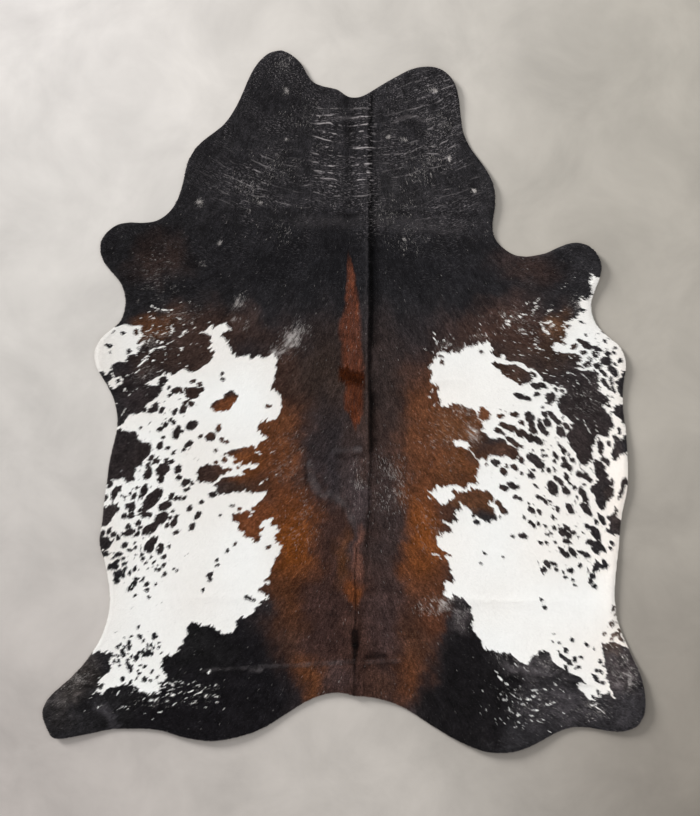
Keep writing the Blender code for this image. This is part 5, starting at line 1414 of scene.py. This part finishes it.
def coat_values(x, y, colour, white):
    """What the coat's materials read at each place of the row frame: colour, lie and marks."""
    cx, cy = on_chart(x, y)
    along, across = wrinkle_place(cx, cy)
    ticks, wrinkles = neck_highlight_strength(cx, cy)
    dark = ~white
    # The painted shade and painted highlights of the folds and creases go into the colour here; marks holds
    # the share of roan hairs and the strength of the neck's painted highlights.
    colour = with_painted_lines(cx, cy, colour, white)
    return {"coat": np.column_stack([colour, dark.astype(float)]),
            "lie": np.column_stack([along, across, np.zeros(len(x))]),
            "marks": np.column_stack([roan_share(cx, cy), ticks * dark, wrinkles * dark])}


def lean_of(field, x, y):
    """The upward normal of a height field."""
    reach = 6 * MM
    slope_x = (field.at(x + reach, y) - field.at(x - reach, y)) / (2 * reach)
    slope_y = (field.at(x, y + reach) - field.at(x, y - reach)) / (2 * reach)
    return unit(np.column_stack([-slope_x, -slope_y, np.ones(len(x))]))


def lay_skin(rim, top, under, inset):
    """The sheet itself: skin above, suede below and the cut edge between."""
    places, faces = sheet_triangles(rim, inset)
    x, y = places[:, 0], places[:, 1]
    high, low = top.at(x, y), under.at(x, y)
    high[:len(rim)] = rim[:, 2]
    low[:len(rim)] = rim[:, 2] - CUT_EDGE
    sunk = high - SKIN_BELOW_TOP * step(inset.at(x, y), 0, 6 * MM) - LEAST_BELOW_TOP
    high = np.maximum(sunk, low + LEAST_SKIN)
    points = np.vstack([np.column_stack([x, y, high]), np.column_stack([x, y, low])])
    ring, below = np.arange(len(rim)), len(places)
    beyond = np.roll(ring, -1)
    halves = [[ring, ring + below, beyond + below], [ring, beyond + below, beyond]]
    if area_of(rim) < 0:
        halves = [[ring, beyond + below, ring + below], [ring, beyond, beyond + below]]
    wall = np.vstack([np.column_stack(corners) for corners in halves])
    everything = np.vstack([faces, faces[:, ::-1] + below, wall])
    sizes = [len(faces), len(faces), len(wall)]
    colour, white = coat(*on_chart(x, y))
    values = {kind: np.vstack([table, table]) for kind, table in coat_values(x, y, colour, white).items()}
    materials = (skin_material(), suede_material(), cut_edge_material())
    made = mesh_object("hide_skin", points, everything, materials, np.repeat([0, 1, 2], sizes), **values)
    made.data.polygons.foreach_set("use_smooth", np.repeat([True, True, False], sizes))
    return made


def hair_roots(rim, inset):
    """(x, y) of every root: an even net inside the cut edge, with each place moved a little."""
    (west, south), (east, north) = rim[:, :2].min(axis=0), rim[:, :2].max(axis=0)
    x, y = np.meshgrid(np.arange(west, east, HAIR_SPACING), np.arange(south, north, HAIR_SPACING))
    x, y = x.ravel(), y.ravel()
    x = x + rng.uniform(-0.5, 0.5, len(x)) * HAIR_SPACING
    y = y + rng.uniform(-0.5, 0.5, len(x)) * HAIR_SPACING
    kept = inset.at(x, y) > HAIR_INSET
    return x[kept], y[kept]


def hair_course(x, y, here, inset):
    """(run_x, run_y, length) of each hair, which passes the cut edge by the overhang at most."""
    run_x, run_y = hair_run(*on_chart(x, y))
    sway = rng.normal(0, 0.13, len(x))
    run_x, run_y = run_x * np.cos(sway) - run_y * np.sin(sway), run_x * np.sin(sway) + run_y * np.cos(sway)
    length = HAIR_LENGTH * rng.uniform(0.75, 1.25, len(x)) * (1 - 0.3 * step(y, 0.35, 0.6))
    there = inset.at(x + run_x * length, y + run_y * length)
    over = there < -HAIR_OVERHANG
    share = np.where(over, (here + HAIR_OVERHANG) / np.maximum(here - there, 1e-6), 1.0)
    return run_x, run_y, length * np.clip(share, 0.3, 1.0)


def hair_corners(x, y, course, here, white, top):
    """The corners of every hair: two at its root, across the way it runs, and the tip."""
    run_x, run_y, length = course
    lift = np.where(white, WHITE_LIFT, 1.0)
    wide = 0.5 * HAIR_WIDTH * rng.uniform(0.8, 1.2, len(x))
    inland = step(here, 0, 8 * MM)
    rise = HAIR_RISE * rng.uniform(0.05, 1.0, len(x)) * (0.35 + 0.65 * inland) * lift
    sunk = lift * (SKIN_BELOW_TOP * (0.3 + 0.7 * inland) + ROOT_DEPTH)
    tip_x, tip_y = x + run_x * length, y + run_y * length
    root_z, tip_z = top.at(x, y) - sunk, top.at(tip_x, tip_y) + rise
    roll = rng.normal(0, np.where(white, 0.06, 0.15), len(x)) * wide
    points = np.empty((len(x), 3, 3))
    points[:, 0] = np.column_stack([x + run_y * wide, y - run_x * wide, root_z + roll])
    points[:, 1] = np.column_stack([x - run_y * wide, y + run_x * wide, root_z - roll])
    points[:, 2] = np.column_stack([tip_x, tip_y, tip_z])
    return points


def hair_colours(colour, white, west_half, here, roan):
    """The colours of the hairs, no two quite the same.

    White hair is painted greyer along the left edge, as painted shade against the low key light that
    brightens that rim, and some dark hairs are pale.
    """
    colour = colour * np.exp(rng.normal(0, np.where(white, 0.02, 0.3), len(white)))[:, None]
    # Painted shade: white hair near the left edge is darkened, since the low key light brightens that rim.
    shaded = 1 - 0.09 * (1 - step(here, 6 * MM, 22 * MM))
    left = white & west_half
    colour[left] *= shaded[left, None]
    pale = ~white & (rng.random(len(white)) < STRAY_HAIRS + ROAN_HAIRS * roan)
    share = rng.uniform(0.05, 0.6, np.count_nonzero(pale))
    colour[pale] = towards(colour[pale], linear(PALE_HAIR), share)
    return colour


def hair_normals(points, shown, here, white, top):
    """The normals: the light falls on a hair partly as on its own face, partly as on the sheet below it."""
    flat = unit(np.cross(points[:, 1] - points[:, 0], points[:, 2] - points[:, 0]))
    flat *= np.sign(flat[:, 2])[:, None]
    own = np.where(white, 0.1, 0.5)[:, None]
    level = np.where(white, 0.8, 0.3)
    level = (level + (0.9 - level) * (1 - step(here, 4 * MM, 22 * MM)))[:, None]
    lean = lean_of(top, *shown) * (1 - level) + np.array([0, 0, 1]) * level
    return unit(flat * own + lean * (1 - own))


def hair_values(points, colour, white, normal):
    """What the coat's material reads at each corner of each hair."""
    count = len(points)
    values = {kind: np.empty((count, 3, width)) for kind, width in (("coat", 4), ("lie", 3), ("marks", 3))}
    for corner, tone in enumerate((ROOT_TONE, ROOT_TONE, 1.0)):
        found = coat_values(points[:, corner, 0], points[:, corner, 1], colour * tone, white)
        for kind, table in found.items():
            values[kind][:, corner] = table
    strand = np.zeros((count, 3, 3))
    strand[:, :, 0] = rng.uniform(0, 400, count)[:, None] + (0, 5, 2.5)
    strand[:, 2, 1] = 1.4
    values["strand"] = strand
    values["normals"] = np.repeat(normal[:, None, :], 3, axis=1)
    return values


def lay_hair(rim, top, inset):
    """The pile: one flat pointed lock of hair for every root, in a few pieces from the neck to the rump."""
    x, y = hair_roots(rim, inset)
    here = inset.at(x, y)
    course = run_x, run_y, length = hair_course(x, y, here, inset)
    # A hair takes its colour from the place where it shows, near its tip.
    shown = x + SHOWN_AT * run_x * length, y + SHOWN_AT * run_y * length
    colour, white = coat(*on_chart(*shown))
    points = hair_corners(x, y, course, here, white, top)
    colour = hair_colours(colour, white, x < 0, here, roan_share(*on_chart(*shown)))
    values = hair_values(points, colour, white, hair_normals(points, shown, here, white, top))
    material = hair_material()
    made = []
    for name, chosen in zip(PILE_PIECES, np.array_split(np.argsort(-y, kind="stable"), len(PILE_PIECES))):
        if len(chosen) > MOST_HAIRS_A_PIECE:
            raise ValueError(f"{name} holds {len(chosen)} hairs")
        corners = points[chosen].reshape(-1, 3)
        faces = np.arange(len(corners)).reshape(-1, 3)
        tables = {kind: value[chosen].reshape(len(corners), -1) for kind, value in values.items()}
        made.append(mesh_object(name, corners, faces, (material,), **tables))
    return made


# ------------------------------------------------------------------ the studio
FLOOR_HALF = 12.0
FLOOR_DROP = 0.4 * MM  # the floor lies this much below the hide, so that the two never touch
# Painted light: the floor's colour is brighter at the upper left and darker towards the lower right, the
# fall-off of a near lamp, which the even key light doesn't give.
PAINTED_FLOOR_LIGHT = [
    # place (x, y) in metres, reach in metres, colour
    ((-1.15, 1.25), 0.7, (0.73, 0.695, 0.675)),
    ((-1.1, 0.6), 0.6, (0.53, 0.505, 0.475)),
    ((-1.15, -0.1), 0.7, (0.50, 0.475, 0.45)),
    ((-1.1, -1.1), 0.8, (0.365, 0.332, 0.314)),
    ((0.0, -1.35), 0.7, (0.43, 0.40, 0.37)),
    ((0.0, 1.35), 0.7, (0.53, 0.50, 0.465)),
    ((1.15, 1.2), 0.8, (0.37, 0.344, 0.303)),
    ((1.15, 0.0), 0.8, (0.345, 0.318, 0.282)),
    ((1.15, -1.2), 0.7, (0.185, 0.165, 0.14)),
]
FARTHEST_REACH = 3.2  # beyond so many reaches a tone's share stays as it is, for the far floor's sake
ROOM_LIGHT = 0.73
KEY = {"elevation": 16.0, "azimuth": 140.0, "strength": 5.8, "softness": 16.0, "colour": (1.0, 1.0, 0.99)}
CAMERA_PLACE = (0.019, -0.0208, 7.26)  # over the middle of the picture, which isn't quite the hide's
LENS_MM, SENSOR_MM = 100.0, 36.0


def vector_maths(tree, operation, first, second, result="Vector"):
    """The result of one sum of vectors; the second is the scale where the sum is SCALE."""
    node = tree.nodes.new("ShaderNodeVectorMath")
    node.operation = operation
    fed(tree, node.inputs[0], first)
    fed(tree, node.inputs["Scale"] if operation == "SCALE" else node.inputs[1], second)
    return node.outputs[result]


def painted_floor_light(tree, place):
    """The floor's colour with the painted light charted above, each tone counting for more the nearer it is.
    """
    shares, colours = [], []
    for (x, y), reach, tone in PAINTED_FLOOR_LIGHT:
        away = vector_maths(tree, "DISTANCE", place, (x, y, 0), "Value")
        reaches = maths(tree, "MINIMUM", maths(tree, "DIVIDE", away, reach), FARTHEST_REACH)
        share = maths(tree, "EXPONENT", maths(tree, "MULTIPLY", maths(tree, "POWER", reaches, 2.0), -1.0))
        shares.append(share)
        colours.append(vector_maths(tree, "SCALE", tone, share))
    total_share, total_colour = shares[0], colours[0]
    for share, colour in zip(shares[1:], colours[1:]):
        total_share = maths(tree, "ADD", total_share, share)
        total_colour = vector_maths(tree, "ADD", total_colour, colour)
    return vector_maths(tree, "SCALE", total_colour, maths(tree, "DIVIDE", 1.0, total_share))


def floor_material():
    """A pale floor with painted light, brighter at the upper left and darker at the lower right, whose tone
    also drifts slowly, with a faint grain.
    """
    material, tree, shader = principled("pale_floor", 0.8, 0.1)
    place = object_place(tree)
    cloudy = clouds(tree, place, Scale=3.4, Detail=5.0, Roughness=0.6, Distortion=0.4)
    shade = grey(tree, ranged(tree, cloudy, 0.3, 0.7, 0.88, 1.12))
    tree.links.new(mixed(tree, 1.0, painted_floor_light(tree, place), shade, "MULTIPLY"), shader.inputs["Base Color"])
    bumped(tree, shader, clouds(tree, place, Scale=240.0, Detail=2.0), 0.5 * BUMP, 0.15)
    return material


def lay_floor():
    """A plain floor under the hide, in two triangles."""
    corners = np.array([(-1, -1), (1, -1), (1, 1), (-1, 1)]) * FLOOR_HALF
    corners = np.column_stack([corners, np.full(4, -FLOOR_DROP)])
    mesh_object("floor", corners, np.array([(0, 1, 2), (0, 2, 3)]), (floor_material(),))


def sun(name, elevation, azimuth, strength, softness, colour):
    """A soft distant light from that height and compass side, both in degrees; azimuth 90 is +Y."""
    data = bpy.data.lights.new(name, "SUN")
    data.energy, data.angle, data.color = strength, math.radians(softness), colour
    light = bpy.data.objects.new(name, data)
    el, az = math.radians(elevation), math.radians(azimuth)
    towards_light = Vector((math.cos(el) * math.cos(az), math.cos(el) * math.sin(az), math.sin(el)))
    light.rotation_euler = towards_light.to_track_quat("Z", "Y").to_euler()
    bpy.context.scene.collection.objects.link(light)


def set_light():
    """A low soft key from the upper left in an evenly lit room."""
    scene = bpy.context.scene
    scene.view_settings.view_transform = "Standard"
    world = bpy.data.worlds.new("soft_room")
    world.use_nodes = True
    background = world.node_tree.nodes["Background"]
    background.inputs["Color"].default_value = (1.0, 1.0, 1.0, 1)
    background.inputs["Strength"].default_value = ROOM_LIGHT
    scene.world = world
    sun("key_upper_left", **KEY)


def set_camera():
    """Straight above the rug."""
    data = bpy.data.cameras.new("from_above")
    data.lens, data.sensor_width, data.clip_end = LENS_MM, SENSOR_MM, 100.0
    camera = bpy.data.objects.new("from_above", data)
    camera.matrix_world = Matrix.Translation(CAMERA_PLACE)
    bpy.context.scene.collection.objects.link(camera)
    bpy.context.scene.camera = camera


def main():
    """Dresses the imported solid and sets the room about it."""
    points, faces = packed_solid(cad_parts["hide"])
    rim = smooth_loop(rim_of(points, faces), RIM_STEP)
    top, under, inset = fields_of(points, faces, rim)
    skin = lay_skin(rim, top, under, inset)
    hair = lay_hair(rim, top, inset)
    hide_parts("hide")
    for piece in [skin, *hair]:
        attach(piece, "root")
    set_light()
    lay_floor()
    set_camera()


main()
